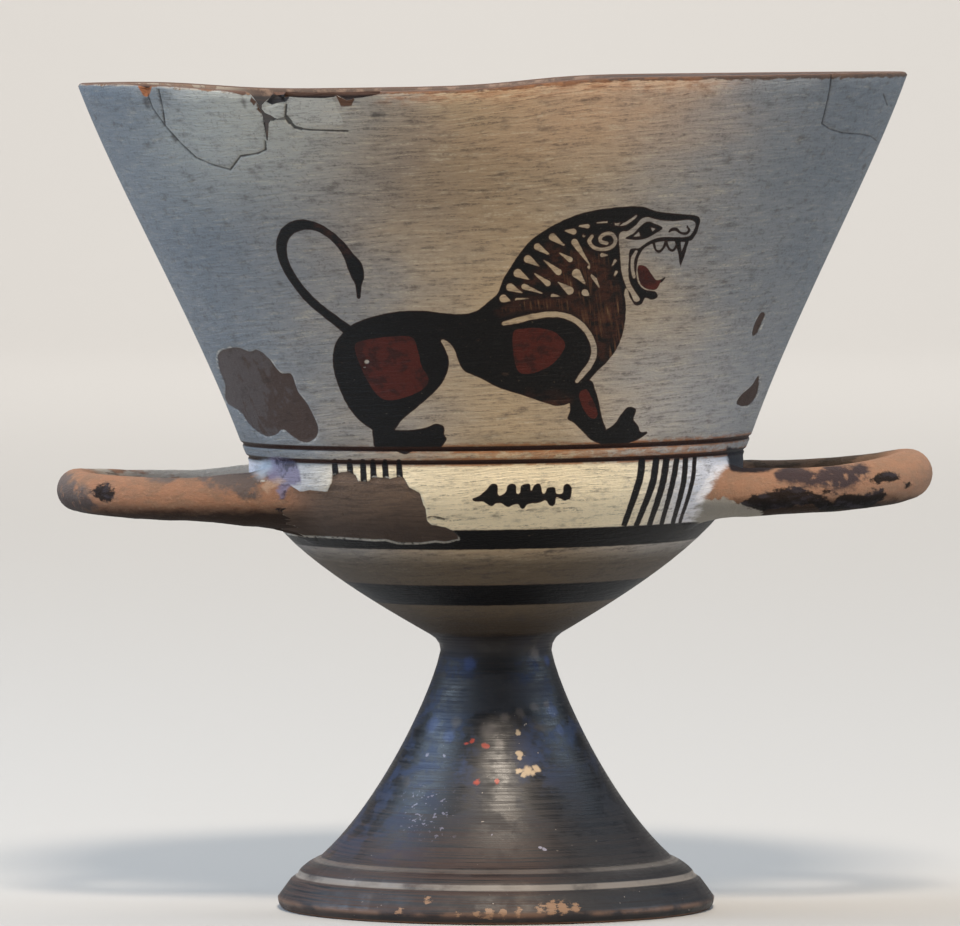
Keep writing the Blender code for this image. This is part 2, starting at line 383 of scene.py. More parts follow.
# The two handles: rods of the same clay, rolled by hand, bent to a rounded loop and luted to
# the wall under the grooves. The left one droops a little and is the thinner at its outer end.
HANDLE_HEIGHT = 76.5
HANDLE_SPREAD = 38.0
HANDLE_FLARE_LENGTH = 19.0
HANDLE_ROUNDNESS = 2.5
HANDLE_SIZES = ("Reach", "Limb rod", "Bight rod", "Root flare", "Rise")
LEFT_HANDLE = (80.6, 7.8, 7.4, 4.4, 1.4)
RIGHT_HANDLE = (80.0, 8.0, 9.0, 2.0, 2.2)
ROD_RINGS = 72
ROD_SIDES = 28
ROD_SWELL = 1.5
FINGER_MARKS = 0.55
FINGER_MARK_SCALE = 0.11
# How far along the rod its two ends are from its middle, a hair under a half.
ROD_ENDS_AT = 0.4999


def rounded_path(wiring, given, share):
    """A rounded U: x and y of the rod's middle, and how far out each place is, from 0 to 1."""
    turn = share * math.pi
    power = wiring.sum("DIVIDE", 2.0, given["Roundness"])
    out = wiring.sum("MAXIMUM", wiring.sum("SINE", turn), 0.0) ** power
    cosine = wiring.sum("COSINE", turn)
    across = wiring.sum("SIGN", cosine) * abs(cosine) ** power
    far = given["Reach"] - given["Bight rod"] * 0.5
    x = wiring.sum("MULTIPLY_ADD", far - given["Root"], out, given["Root"])
    return x, given["Spread"] * 0.5 * across, out


def rolling_tree():
    """Rolls a rod along a rounded U, thicker at its roots, which end inside the bowl's wall."""
    sizes = ("Side", "Root", "Spread", "Height", "Roundness", "Flare length", "Wall radius")
    sizes += ("Wall slope", "Finger marks", *HANDLE_SIZES)
    wiring, given = new_tree("roll a handle", sizes, {"Material": "Material"})
    do, node = wiring.sum, wiring.node
    line_in = node("GeometryNodeCurvePrimitiveLine").outputs["Curve"]
    rings = node("GeometryNodeResampleCurve", {"Curve": line_in, "Count": ROD_RINGS}).outputs[0]
    factor = node("GeometryNodeSplineParameter").outputs["Factor"]
    share = {"Geometry": rings, "Name": "along the rod", "Value": factor}
    kept = node("GeometryNodeStoreNamedAttribute", share, data_type="FLOAT", domain="POINT")
    share = node("GeometryNodeInputNamedAttribute", {"Name": "along the rod"}, data_type="FLOAT")
    share = Number(wiring, share.outputs["Attribute"])
    x, y, out = rounded_path(wiring, given, share)
    z = do("MULTIPLY_ADD", given["Rise"], out**4.0, given["Height"])
    middle = {"Geometry": kept.outputs[0], "Position": wiring.join(x * given["Side"], y, z)}
    path = node("GeometryNodeSetPosition", middle).outputs[0]
    root = wiring.join(given["Root"], given["Spread"] * 0.5, given["Height"])
    ends = {0: wiring.join(x, abs(y), z), 1: root}
    from_root = node("ShaderNodeVectorMath", ends, operation="DISTANCE").outputs["Value"]
    left_over = 1.0 - do("DIVIDE", from_root, given["Flare length"])
    swell = do("MAXIMUM", left_over, 0.0) ** ROD_SWELL
    thickening = given["Bight rod"] - given["Limb rod"]
    rod = do("MULTIPLY_ADD", thickening, out**2.0, given["Limb rod"])
    rod = do("MULTIPLY_ADD", given["Root flare"], swell, rod)
    sized = node("GeometryNodeSetCurveRadius", {"Curve": path, "Radius": rod * 0.5}).outputs[0]
    upright = node("GeometryNodeSetCurveNormal", {"Curve": sized}, mode="Z_UP").outputs[0]
    ring = node("GeometryNodeCurvePrimitiveCircle", {"Resolution": ROD_SIDES, "Radius": 1.0})
    section = {"Curve": upright, "Profile Curve": ring.outputs["Curve"], "Fill Caps": True}
    swept = node("GeometryNodeCurveToMesh", section)
    if "Scale" in swept.inputs:
        wiring.feed(swept.inputs["Scale"], node("GeometryNodeInputRadius").outputs[0])
    place = node("GeometryNodeInputPosition").outputs[0]
    grain = {"Vector": place, "Scale": FINGER_MARK_SCALE, "Detail": 2.0}
    lumps = Number(wiring, node("ShaderNodeTexNoise", grain).outputs["Fac"])
    outwards = node("GeometryNodeInputNormal").outputs[0]
    swing = {"Vector": outwards, "Scale": (lumps - 0.5) * given["Finger marks"]}
    push = node("ShaderNodeVectorMath", swing, operation="SCALE").outputs[0]
    worked = node("GeometryNodeSetPosition", {"Geometry": swept.outputs[0], "Offset": push})
    _, side_y, height = wiring.parts(node("GeometryNodeInputPosition").outputs[0])
    above = height - given["Height"]
    wall = do("MULTIPLY_ADD", above, given["Wall slope"], given["Wall radius"])
    chord = do("SQRT", wall**2.0 - side_y**2.0)
    fit = {
        "Geometry": worked.outputs[0],
        "Selection": do("GREATER_THAN", abs(share - 0.5), ROD_ENDS_AT),
        "Position": wiring.join(chord * given["Side"], side_y, height),
    }
    fitted = node("GeometryNodeSetPosition", fit).outputs[0]
    small = node("GeometryNodeTransform", {"Geometry": fitted, "Scale": (MM, MM, MM)}).outputs[0]
    return finish_tree(wiring, small, given["Material"])


tree = rolling_tree()
middle_of_wall = outer_radius(HANDLE_HEIGHT) - BOWL_WALL / 2
wall_slope = (outer_radius(HANDLE_HEIGHT + 4) - outer_radius(HANDLE_HEIGHT - 4)) / 8
loops = []
for side, name, sizes in ((-1, "left loop", LEFT_HANDLE), (1, "right loop", RIGHT_HANDLE)):
    loop = new_object(name, bmesh.new())
    common = {
        "Side": float(side),
        "Root": math.sqrt(middle_of_wall**2 - (HANDLE_SPREAD / 2) ** 2),
        "Spread": HANDLE_SPREAD,
        "Height": HANDLE_HEIGHT,
        "Roundness": HANDLE_ROUNDNESS,
        "Flare length": HANDLE_FLARE_LENGTH,
        "Wall radius": float(middle_of_wall),
        "Wall slope": float(wall_slope),
        "Finger marks": FINGER_MARKS,
        "Material": clay,
    }
    run_tree(loop, tree, {**common, **dict(zip(HANDLE_SIZES, sizes))})
    loops.append(loop)


# What the kiln did: the bowl's turned lines climb to the right, its upper wall leans to the
# left, and the rim sagged in its left half. The handles went with the bowl.
LINE_CLIMB = math.tan(math.radians(0.80))
WALL_LEAN = math.tan(math.radians(0.55))
RIM_SAG = 1.9
RIM_SAG_CENTRE = -23.0
RIM_SAG_HALF_WIDTH = 32.0
RIM_SAG_REACH = 30.0


def kiln_shift(places):
    """How far each place of the true cup moved in the kiln."""
    x, _, z = places.T
    on_bowl = np.clip((z - NECK[1]) / (FILLET_TOP[1] - NECK[1]), 0, 1)
    near_rim = np.clip(1 - (RIM[1] - z) / RIM_SAG_REACH, 0, 1)
    sag = RIM_SAG * np.exp(-(((x - RIM_SAG_CENTRE) / RIM_SAG_HALF_WIDTH) ** 4)) * near_rim**2
    lean = np.maximum(z - GROOVE_HEIGHTS[1], 0) * WALL_LEAN
    return np.stack([-lean, 0 * x, x * LINE_CLIMB * on_bowl - sag], axis=1)


def vectors_of(mesh, measure):
    """The places ("co") or the normals ("normal") of a mesh's points."""
    flat = np.empty(len(mesh.vertices) * 3)
    mesh.vertices.foreach_get(measure, flat)
    return flat.reshape(-1, 3)


def places_of(mesh):
    return vectors_of(mesh, "co") / MM


def move_to(mesh, places):
    mesh.vertices.foreach_set("co", (places * MM).ravel())
    mesh.update()


for thing in (chalice, *loops):
    places = places_of(thing.data)
    move_to(thing.data, places + kiln_shift(places))


# Old breaks in the rim: a notch left of the painted front, beside a small sherd that was set
# back, goes right through the wall; right of it the outer half of the lip has broken away.
THROUGH_THE_WALL = 40.0
SPALL_DEPTH = 1.3
BEFORE_THE_CUP = -90
NOTCH = [
    (-46, 154), (-44.8, 150.3), (-43.7, 149.7), (-43, 148.9), (-42.4, 148.1), (-41.9, 146.8),
    (-41.6, 146.1), (-41.2, 144.9), (-40.9, 142.4), (-40.8, 141.4), (-40.6, 141.4), (-40.5, 142.4),
    (-40.4, 144.4), (-40, 145.1), (-39.1, 145.3), (-40, 145.9), (-41, 146.3), (-41.6, 147),
    (-41.6, 147.7), (-40.8, 148.5), (-40.1, 149.1), (-39.5, 150.1), (-38.8, 154),
]
LOST_LIP = [
    (-37.4, 154), (-37.3, 149.3), (-35.5, 149.1), (-33, 149), (-30.3, 149), (-28.7, 149.2),
    (-28.2, 149.5), (-26.6, 149), (-25.2, 149), (-23.7, 149.1), (-22, 149.4), (-20.6, 149.8),
    (-19.6, 154),
]


def break_cutter(name, outline, depth):
    """A prism with this outline, run from in front of the rim to this deep in the front wall."""
    prism = bmesh.new()
    ends = [[prism.verts.new((x * MM, BEFORE_THE_CUP * MM, z * MM)) for x, z in outline], []]
    for x, z in outline:
        surface = math.sqrt(float(outer_radius(min(z + RIM_SAG, RIM[1]))) ** 2 - x**2)
        ends[1].append(prism.verts.new((x * MM, (depth - surface) * MM, z * MM)))
    prism.faces.new(ends[0])
    prism.faces.new(ends[1][::-1])
    for corner in range(len(outline)):
        before = corner - 1
        prism.faces.new((ends[0][before], ends[0][corner], ends[1][corner], ends[1][before]))
    bmesh.ops.triangulate(prism, faces=prism.faces)
    bmesh.ops.recalc_face_normals(prism, faces=prism.faces)
    return new_object(name, prism)


def recalculate(thing):
    mesh = bmesh.new()
    mesh.from_mesh(thing.data)
    bmesh.ops.recalc_face_normals(mesh, faces=mesh.faces)
    mesh.to_mesh(thing.data)
    mesh.free()


cutters = [
    break_cutter("notch", NOTCH, THROUGH_THE_WALL),
    break_cutter("lost lip", LOST_LIP, SPALL_DEPTH),
]
for thing in (chalice, *loops):
    recalculate(thing)
for tool in loops + cutters:
    joint = chalice.modifiers.new(tool.name, "BOOLEAN")
    joint.operation = "UNION" if tool in loops else "DIFFERENCE"
    joint.solver = "MANIFOLD"
    joint.object = tool
settle(chalice)
for tool in loops + cutters:
    bpy.data.objects.remove(tool)


# The luting: where each rod meets the wall the potter smeared the clay over, so the corner
# between them is filled and round.
LUTED_WITHIN = 3.2
LUTING_STROKES = 30
LUTING_PRESSURE = 0.6
LUTED_HEIGHTS = (64, 90)
ON_WALL = -0.3
ON_ROD = 0.15
ROOTS_WITHIN = (52, 32)
FAR_OFF = 99.0
AT_ONCE = 2000
SHIFT_ROUNDS = 6


def true_places(places):
    """Where each place of the fired cup was on the true one."""
    guess = places.copy()
    for _ in range(SHIFT_ROUNDS):
        guess = places - kiln_shift(guess)
    return guess


def ends_of_edges(mesh):
    flat = np.empty(len(mesh.edges) * 2, int)
    mesh.edges.foreach_get("vertices", flat)
    return flat.reshape(-1, 2).T


def distance_to(places, others):
    """How far each place is from the nearest of the others, worked out a part at a time."""
    found = []
    for start in range(0, len(places), AT_ONCE):
        away = places[start : start + AT_ONCE][:, None] - others[None]
        found.append(np.sqrt((away**2).sum(axis=2).min(axis=1)))
    return np.concatenate(found)


def smear_joints(mesh):
    places = places_of(mesh)
    true = true_places(places)
    proud = np.hypot(true[:, 0], true[:, 1]) - outer_radius(true[:, 2])
    low, high = LUTED_HEIGHTS
    on_band = (true[:, 2] > low) & (true[:, 2] < high) & (proud > ON_WALL)
    on_rod = on_band & (proud > ON_ROD)
    on_wall = on_band & ~on_rod
    first, second = ends_of_edges(mesh)
    crossing = (on_rod[first] & on_wall[second]) | (on_rod[second] & on_wall[first])
    joint = places[np.unique(np.concatenate([first[crossing], second[crossing]]))]
    by_roots = (np.abs(places[:, :2]) < ROOTS_WITHIN).all(axis=1)
    near = np.where(on_band & by_roots)[0]
    gap = np.full(len(places), FAR_OFF)
    gap[near] = distance_to(places[near], joint)
    weight = np.clip(1 - gap / LUTED_WITHIN, 0, 1)[:, None] * LUTING_PRESSURE
    count = np.bincount(np.concatenate([first, second]), minlength=len(places))
    for _ in range(LUTING_STROKES):
        total = np.zeros_like(places)
        np.add.at(total, first, places[second])
        np.add.at(total, second, places[first])
        places += weight * (total / np.maximum(count, 1)[:, None] - places)
    move_to(mesh, places)


smear_joints(chalice.data)


# Drawing with a brush: every painted shape is an outline or a stroke on the front plane, and
# gives each place its distance in millimetres from the paint's edge, above zero in the paint.
OFF = -9.0
OUTSIDE = (-3.5, 0.7)
ROD_PROUD = 0.3
ROD_ROUND_HEIGHT = 12


def flowing(points, closed=False, step=0.35):
    """A smooth line through the points, in short steps."""
    points = np.array(points, float)
    if closed:
        before, after = points[-1:], points[:2]
    else:
        before, after = 2 * points[:1] - points[1:2], 2 * points[-1:] - points[-2:-1]
    run = np.vstack([before, points, after])
    smooth = []
    for a, b, c, d in zip(run, run[1:], run[2:], run[3:]):
        count = max(2, int(np.linalg.norm(c[:2] - b[:2]) / step) + 1)
        for t in np.linspace(0, 1, count, endpoint=False):
            rise = (2 * a - 5 * b + 4 * c - d) * t**2
            bent = 2 * b + (c - a) * t + rise + (3 * b - 3 * c + d - a) * t**3
            smooth.append(bent / 2)
    if not closed:
        smooth.append(points[-1])
    return np.array(smooth)


class Canvas:
    """The wall's outer side or the handles, front (-1) or back (1), as the brush finds them."""

    def __init__(self, mesh, part="wall", facing=-1):
        self.places = places_of(mesh)
        self.true = true_places(self.places)
        heights = self.true[:, 2]
        self.into_clay = outer_radius(heights) - np.hypot(self.true[:, 0], self.true[:, 1])
        low, high = OUTSIDE
        outside = (self.into_clay < high) & (self.into_clay > low) & (heights > NECK[1])
        if part == "handles":
            at_height = np.abs(heights - HANDLE_HEIGHT) < ROD_ROUND_HEIGHT
            outside = (self.into_clay < -ROD_PROUD) & at_height
        self.spots = self.true[:, [0, 2]] * (-facing, 1)
        self.front = np.where(outside & (self.true[:, 1] * facing > 0))[0]

    def nearby(self, points, margin):
        """Numbers of the front places within a margin of the points' box."""
        low = points[:, :2].min(axis=0) - margin
        high = points[:, :2].max(axis=0) + margin
        here = self.spots[self.front]
        return self.front[((here > low) & (here < high)).all(axis=1)]

    def stroke(self, points, width=None, smooth=True, margin=4.0):
        """A brush stroke along the points, which may each carry a width as a third number."""
        run = np.array(points, float)
        if run.shape[1] == 2:
            run = np.column_stack([run, np.full(len(run), width)])
        if smooth and len(run) > 2:
            run = flowing(run)
        field = np.full(len(self.spots), OFF)
        chosen = self.nearby(run, margin + run[:, 2].max() / 2)
        here = self.spots[chosen]
        best = np.full(len(chosen), OFF)
        for a, b in zip(run, run[1:]):
            step = b[:2] - a[:2]
            share = np.clip((here - a[:2]) @ step / max(step @ step, 1e-9), 0, 1)
            off = np.linalg.norm(here - a[:2] - share[:, None] * step, axis=1)
            best = np.maximum(best, (a[2] + share * (b[2] - a[2])) / 2 - off)
        field[chosen] = best
        return field

    def patch(self, points, smooth=True, margin=4.0):
        """A filled outline."""
        ring = flowing(points, closed=True) if smooth else np.array(points, float)
        edge = self.stroke(np.vstack([ring, ring[:1]]), 0.0, smooth=False, margin=margin)
        chosen = self.nearby(ring, margin)
        x, z = self.spots[chosen].T
        inside = np.zeros(len(chosen), bool)
        for (ax, az), (bx, bz) in zip(ring, np.roll(ring, -1, axis=0)):
            crosses = (az > z) != (bz > z)
            with np.errstate(divide="ignore", invalid="ignore"):
                meets = ax + (z - az) / (bz - az) * (bx - ax)
            inside ^= crosses & (x < meets)
        edge[chosen] = np.where(inside, -edge[chosen], edge[chosen])
        return edge

    def patches(self, shapes, smooth=True):
        return both(*[self.patch(shape, smooth) for shape in shapes])

    def strokes(self, runs, smooth=True):
        return both(*[self.stroke(run, smooth=smooth) for run in runs])


def both(*fields):
    return np.maximum.reduce(fields)


def less(field, *taken):
    """A field with others left out of it."""
    return np.minimum(field, -both(*taken))


# The lion: a roaring lion of the animal friezes, walking right, with its tail curled over its
# back. Laid in with dark glaze, the inner lines left in the pale slip, and red over the glaze.
BODY = [
    (-26, 108.5), (-23.6, 109.7), (-20.5, 110.6), (-17, 111.2), (-13, 111.3), (-9, 110.8),
    (-5, 110.7), (-1, 112), (4, 113), (12, 113.5), (19, 113.5), (22.6, 114), (23.3, 111.2),
    (23, 107.6), (21.9, 104.3), (20, 101.6), (18.1, 99.8), (16.8, 98.3), (15.4, 96.1), (13.2, 94.2),
    (11, 93.7), (8.8, 94.3), (4.7, 95.8), (0.7, 97.1), (-2.8, 99), (-5.6, 100.3), (-6.6, 102),
    (-7.4, 104.3), (-8.6, 105.7), (-9.8, 106), (-8.9, 104.2), (-8.3, 102), (-9, 99.2),
    (-10.7, 96.8), (-13.6, 94.2), (-16.4, 91.9), (-17.8, 90.2), (-19.2, 88.4), (-21.6, 88.3),
    (-22.1, 89.5), (-24.7, 91.5), (-26.7, 94.2), (-28.1, 97.3), (-29, 100.4), (-29.1, 103.4),
    (-28.3, 106),
]
HIND_PAW = [
    (-21.9, 90), (-18.2, 89.7), (-15.1, 89.7), (-12.6, 90.1), (-10.8, 90.8), (-9.4, 90.3),
    (-9.3, 88.8), (-8.9, 88), (-9.9, 86.5), (-11.6, 85.8), (-14.6, 85.8), (-16.4, 85.2),
    (-18.2, 85.8), (-20.3, 85.8), (-21.8, 86.5), (-22.1, 88),
]
FORELEG = [
    (13.3, 97.6), (16.8, 98.3), (17.9, 96.1), (18.6, 93.3), (19.1, 90.8), (19.7, 89.1),
    (19.2, 86.7), (17.1, 87.3), (15.4, 89), (13.8, 90.6), (12.7, 91.3), (13.2, 92.9), (13.1, 95.1),
]
FORE_PAW = [
    (17.8, 87.4), (19.3, 88.9), (21.1, 90.1), (22.5, 92), (23.7, 93.2), (25.1, 92.7), (24.7, 90.9),
    (25.5, 89.7), (26, 88.5), (27.5, 88.6), (26, 87.4), (24, 86.6), (21.5, 86), (19.3, 86.2),
]
TAIL = [
    (-25.8, 107.4, 2), (-28.6, 109.6, 1.7), (-31.3, 111.7, 1.6), (-33.8, 114.1, 1.6),
    (-36.1, 117.2, 1.6), (-37.6, 120.2, 1.7), (-38, 123.2, 2), (-37, 125.6, 2.2),
    (-34.8, 126.8, 2.1), (-32.2, 126.7, 1.6), (-29.8, 125.5, 1.4), (-27.5, 123.4, 1.5),
    (-25.9, 121.1, 1.9), (-24.9, 119.3, 2.7), (-24.4, 117.6, 2.3), (-24.3, 116, 1.2),
    (-24.3, 113.8, 0.7),
]
HEAD = [
    (-3.1, 110.8), (-1.6, 112.4), (0.4, 114.2), (1.4, 116.6), (3.1, 119.4), (5, 122.1),
    (7.3, 124.4), (10.6, 126.4), (14.6, 128.1), (18.7, 129), (23.2, 129.4), (26.5, 129.3),
    (28.6, 128.5), (32.6, 127.9), (35.4, 127.6), (36.6, 127), (36.5, 125.6), (35.8, 123.9),
    (34.6, 122.9), (30.3, 123), (28, 122.6), (26.4, 121.6), (25.5, 119.9), (25.2, 117.6),
    (25.6, 115.6), (26.8, 114.4), (28.6, 114), (29, 113), (28, 112.5), (26.8, 112.9), (26.1, 111.8),
    (25, 111.6), (24.1, 113), (23.3, 114.7), (22.4, 112), (18, 108.5), (8, 109), (-0.9, 108.8),
]
MUZZLE = [
    (22.2, 124.5), (23.7, 125), (25, 125.9), (26, 127), (27.3, 127.4), (29.4, 126.8), (32.1, 126.6),
    (34.8, 126.7), (35.8, 126), (35.3, 124.5), (34.1, 123.7), (30.2, 123.8), (28.2, 123.4),
    (26.7, 122.6), (25.7, 121.9), (24.1, 121.7), (23.8, 119.4), (23.8, 116.7), (24.3, 115.2),
    (25.1, 113.9), (25.8, 112.6), (24.9, 112.3), (24.1, 113.9), (23.3, 115.2), (22.6, 117.5),
    (22.3, 120.7),
]
JAW_LINE = [(25.2, 121.3, 0.5), (24.6, 120.1, 0.6), (24.5, 118.3, 0.6), (24.8, 116.7, 0.5)]
BROW_LINE = [(20.7, 126.3, 0.35), (22.8, 126.2, 0.45), (24.2, 126.9, 0.45), (25.2, 127.7, 0.35)]
EYE = [
    (23.2, 123.7), (24.7, 124.6), (25.8, 125.7), (27, 126.6), (28.4, 126.3), (29.9, 125.4),
    (28.4, 124.3), (26.6, 123.5), (24.8, 123.4),
]
EYE_CORNERS = [
    [(24.7, 124), (25.7, 124.9), (25.9, 124)],
    [(27.8, 125.6), (28.6, 125.3), (28.1, 124.8)],
]
NOSTRIL = [
    (31.1, 124.7, 0.4), (31.6, 125.1, 0.6), (32.4, 125.1, 0.6), (33.1, 124.5, 0.5),
    (34.1, 124.3, 0.5), (34.7, 124.9, 0.5), (34.2, 125.7, 0.4),
]
EAR = [
    (17.3, 124.2), (16.8, 123.3), (17.6, 122.2), (19.2, 121.8), (20.9, 122.3), (21.5, 123.4),
    (20.9, 124.5), (19.8, 124.6), (18.8, 124), (18.9, 123.2), (19.9, 122.9),
]
EAR_WIDTH = 0.62
# Each lock of the mane: its broad end, its point, and its width at the broad end.
LOCKS = [
    (1.5, 113.3, 3, 112.5, 1.4), (2.7, 115.3, 4.8, 114.3, 1.4), (4.1, 117.8, 6.1, 116.6, 1.5),
    (5.9, 120.3, 7.9, 119, 1.4), (7.6, 122.5, 9.9, 120.9, 1.2), (10.3, 124.2, 12.4, 122.6, 1.3),
    (14, 125.1, 12.5, 125.3, 1.1), (16.5, 126, 14.9, 126.1, 0.8), (20, 126.7, 18.2, 126.6, 0.3),
    (5.2, 115.4, 8.4, 114.1, 1), (9.4, 115.9, 6.9, 117.8, 1), (11.3, 117.9, 8.7, 120.1, 1.1),
    (13.4, 120.1, 11.4, 121.4, 0.9), (14.2, 123.2, 16.9, 119, 1.2), (3.9, 113, 9.1, 113.1, 0.7),
    (13.3, 114.5, 11.2, 116.1, 1.4), (10.3, 113.6, 15.5, 112, 0.8), (14.5, 117.6, 16.1, 115.6, 1.6),
    (16, 114.1, 17.6, 111.8, 1.2), (15.9, 124.3, 16.1, 124.3, 0.6), (16.7, 118.7, 16.8, 118.3, 0.5),
    (17.5, 117.1, 18.6, 114.9, 0.9), (18.4, 113.6, 19.7, 109.5, 0.4),
    (20.8, 112.5, 20.9, 107.8, 0.5), (19.1, 120.8, 20.2, 120.7, 0.8),
    (21.4, 119.7, 20.8, 118.7, 0.5), (21.6, 117.7, 21.2, 116.8, 0.5),
]
LOCK_POINT = 0.15
SHOULDER_LINE = [
    (1.5, 108.8, 0.7), (3.9, 109.3, 1), (6.9, 110, 1), (10.1, 110.3, 1), (13, 109.8, 1),
    (15.4, 108.2, 1), (17.1, 105.7, 1), (17.6, 103.2, 1), (16.8, 101, 1), (15.5, 99.4, 0.9),
    (14.5, 98.1, 0.6),
]
TEETH = [
    [(28.3, 122.8), (28.7, 121.5), (29.4, 121.2), (30.1, 121.9), (30.4, 122.9)],
    [(30.6, 122.8), (31.1, 121.6), (31.8, 121.3), (32.3, 122), (32.6, 122.9)],
]
TOOTH_WIDTH = 0.45
FANG = [(31.9, 123.4), (32.6, 121.4), (33.1, 118.2), (33.9, 120.4), (34.8, 123.4)]
FANG_HEART = [(33.2, 122.8), (33.3, 121), (34, 122.8)]
HAUNCH_RED = [
    (-25.1, 105), (-23.5, 105.9), (-20.6, 106.4), (-17, 106.7), (-14.7, 106.3), (-13.8, 103.8),
    (-13.2, 101.1), (-12, 99), (-12.9, 97.2), (-15.7, 95.8), (-18.8, 95.1), (-20.8, 95.7),
    (-22.7, 98.2), (-24.3, 101.7),
]
SHOULDER_RED = [
    (3.2, 107.1), (5.1, 107.8), (8, 107.8), (10.8, 106.9), (12.4, 104.7), (11, 102.2), (8.8, 100.5),
    (6.1, 99.7), (4.2, 100), (3.3, 102.5),
]
LEG_RED = [
    (14.9, 95.8), (16.1, 96.6), (17.2, 94.8), (18.1, 92.5), (17.8, 91.3), (16.6, 91.7),
    (15.4, 93.6),
]
TONGUE = [
    (25.6, 118.8), (26.9, 118.5), (27.8, 117.4), (28.7, 116.1), (29.6, 115.9), (28.8, 114.4),
    (27.3, 114.4), (26, 115.3), (25.5, 117.1),
]
TONGUE_TIP = [(28.6, 115.8, 0.4), (29.5, 115.8, 0.6), (30.3, 116.4, 0.3)]
THIN_GLAZE = [
    [
        (0.9, 110.9, 1.2), (3.5, 111.9, 2), (8, 112.4, 2.4), (12.4, 112, 2.6), (16, 110.4, 2.6),
        (18.6, 106.8, 2.2), (19, 102.6, 1.6),
    ],
    [
        (10, 122, 2), (13, 118.5, 3.6), (15.4, 120.4, 3), (18.6, 117.4, 4), (20.2, 112, 4.4),
        (21.6, 106.5, 3),
    ],
    [(4.4, 114.8, 1.6), (8.4, 117.2, 2.2), (12, 116.6, 2.4), (14.4, 113.4, 2)],
    [(-31.4, 126.9, 0.8), (-29.2, 125.1, 1.3), (-27.3, 123.1, 1.4), (-26.2, 121.7, 0.9)],
    [(5.8, 95.4, 1), (8.8, 94.3, 1.4), (11.4, 94, 1.4), (13, 94.6, 1)],
]
THIN_EDGE = 1.4
GOLDEN_HAIRS = [
    [(18.1, 120.7, 0.5), (17.6, 116.4, 0.7), (18.4, 112.7, 0.6), (19.3, 108.9, 0.3)],
    [(19.8, 120.1, 0.4), (19.6, 116.4, 0.7), (20.1, 112.6, 0.6), (20.5, 108.9, 0.3)],
    [(21.6, 115.1, 0.4), (22.1, 112.6, 0.6), (22.2, 110.1, 0.6), (21.6, 107, 0.3)],
    [(15.2, 114, 0.3), (17, 111.5, 0.6), (18.2, 109, 0.6), (19.1, 106.4, 0.3)],
    [(13.6, 121.4, 0.3), (15.6, 118.2, 0.6), (16.7, 116, 0.5), (17.4, 114, 0.3)],
    [(9.4, 119.2, 0.4), (11.8, 117.4, 0.7), (13.6, 115.6, 0.4)],
    [
        (1.6, 111.3, 0.4), (5.6, 112, 0.9), (11.5, 112, 1.1), (15.1, 110.8, 1.3), (17.6, 108.2, 1),
        (18.8, 105.6, 0.5),
    ],
    [(22.9, 110.1, 0.6), (22.5, 107, 0.9), (21.4, 104.5, 1.2), (19.9, 102.2, 0.6)],
]


def paint_lion(canvas):
    """The lion's dark glaze, its red, where its glaze was laid thin, and its golden hairs."""
    patch, stroke = canvas.patch, canvas.stroke
    muzzle = less(patch(MUZZLE), patch(EYE), stroke(NOSTRIL))
    corners = canvas.patches(EYE_CORNERS, smooth=False)
    locks = [[(*lock[:2], lock[4]), (*lock[2:4], LOCK_POINT)] for lock in LOCKS]
    lines = both(stroke(JAW_LINE), stroke(BROW_LINE), stroke(EAR, EAR_WIDTH))
    pale = both(muzzle, corners, lines, canvas.strokes(locks, smooth=False))
    teeth = [stroke(tooth, TOOTH_WIDTH) for tooth in TEETH]
    teeth.append(less(patch(FANG, smooth=False), patch(FANG_HEART, smooth=False)))
    body = both(canvas.patches([BODY, HIND_PAW, FORELEG, FORE_PAW]), stroke(TAIL))
    body = less(both(body, less(patch(HEAD), pale)), stroke(SHOULDER_LINE))
    red = canvas.patches([HAUNCH_RED, SHOULDER_RED, LEG_RED, TONGUE])
    thin = np.clip(canvas.strokes(THIN_GLAZE) / THIN_EDGE + 0.5, 0, 1)
    return both(body, *teeth, stroke(TONGUE_TIP)), red, thin, canvas.strokes(GOLDEN_HAIRS)


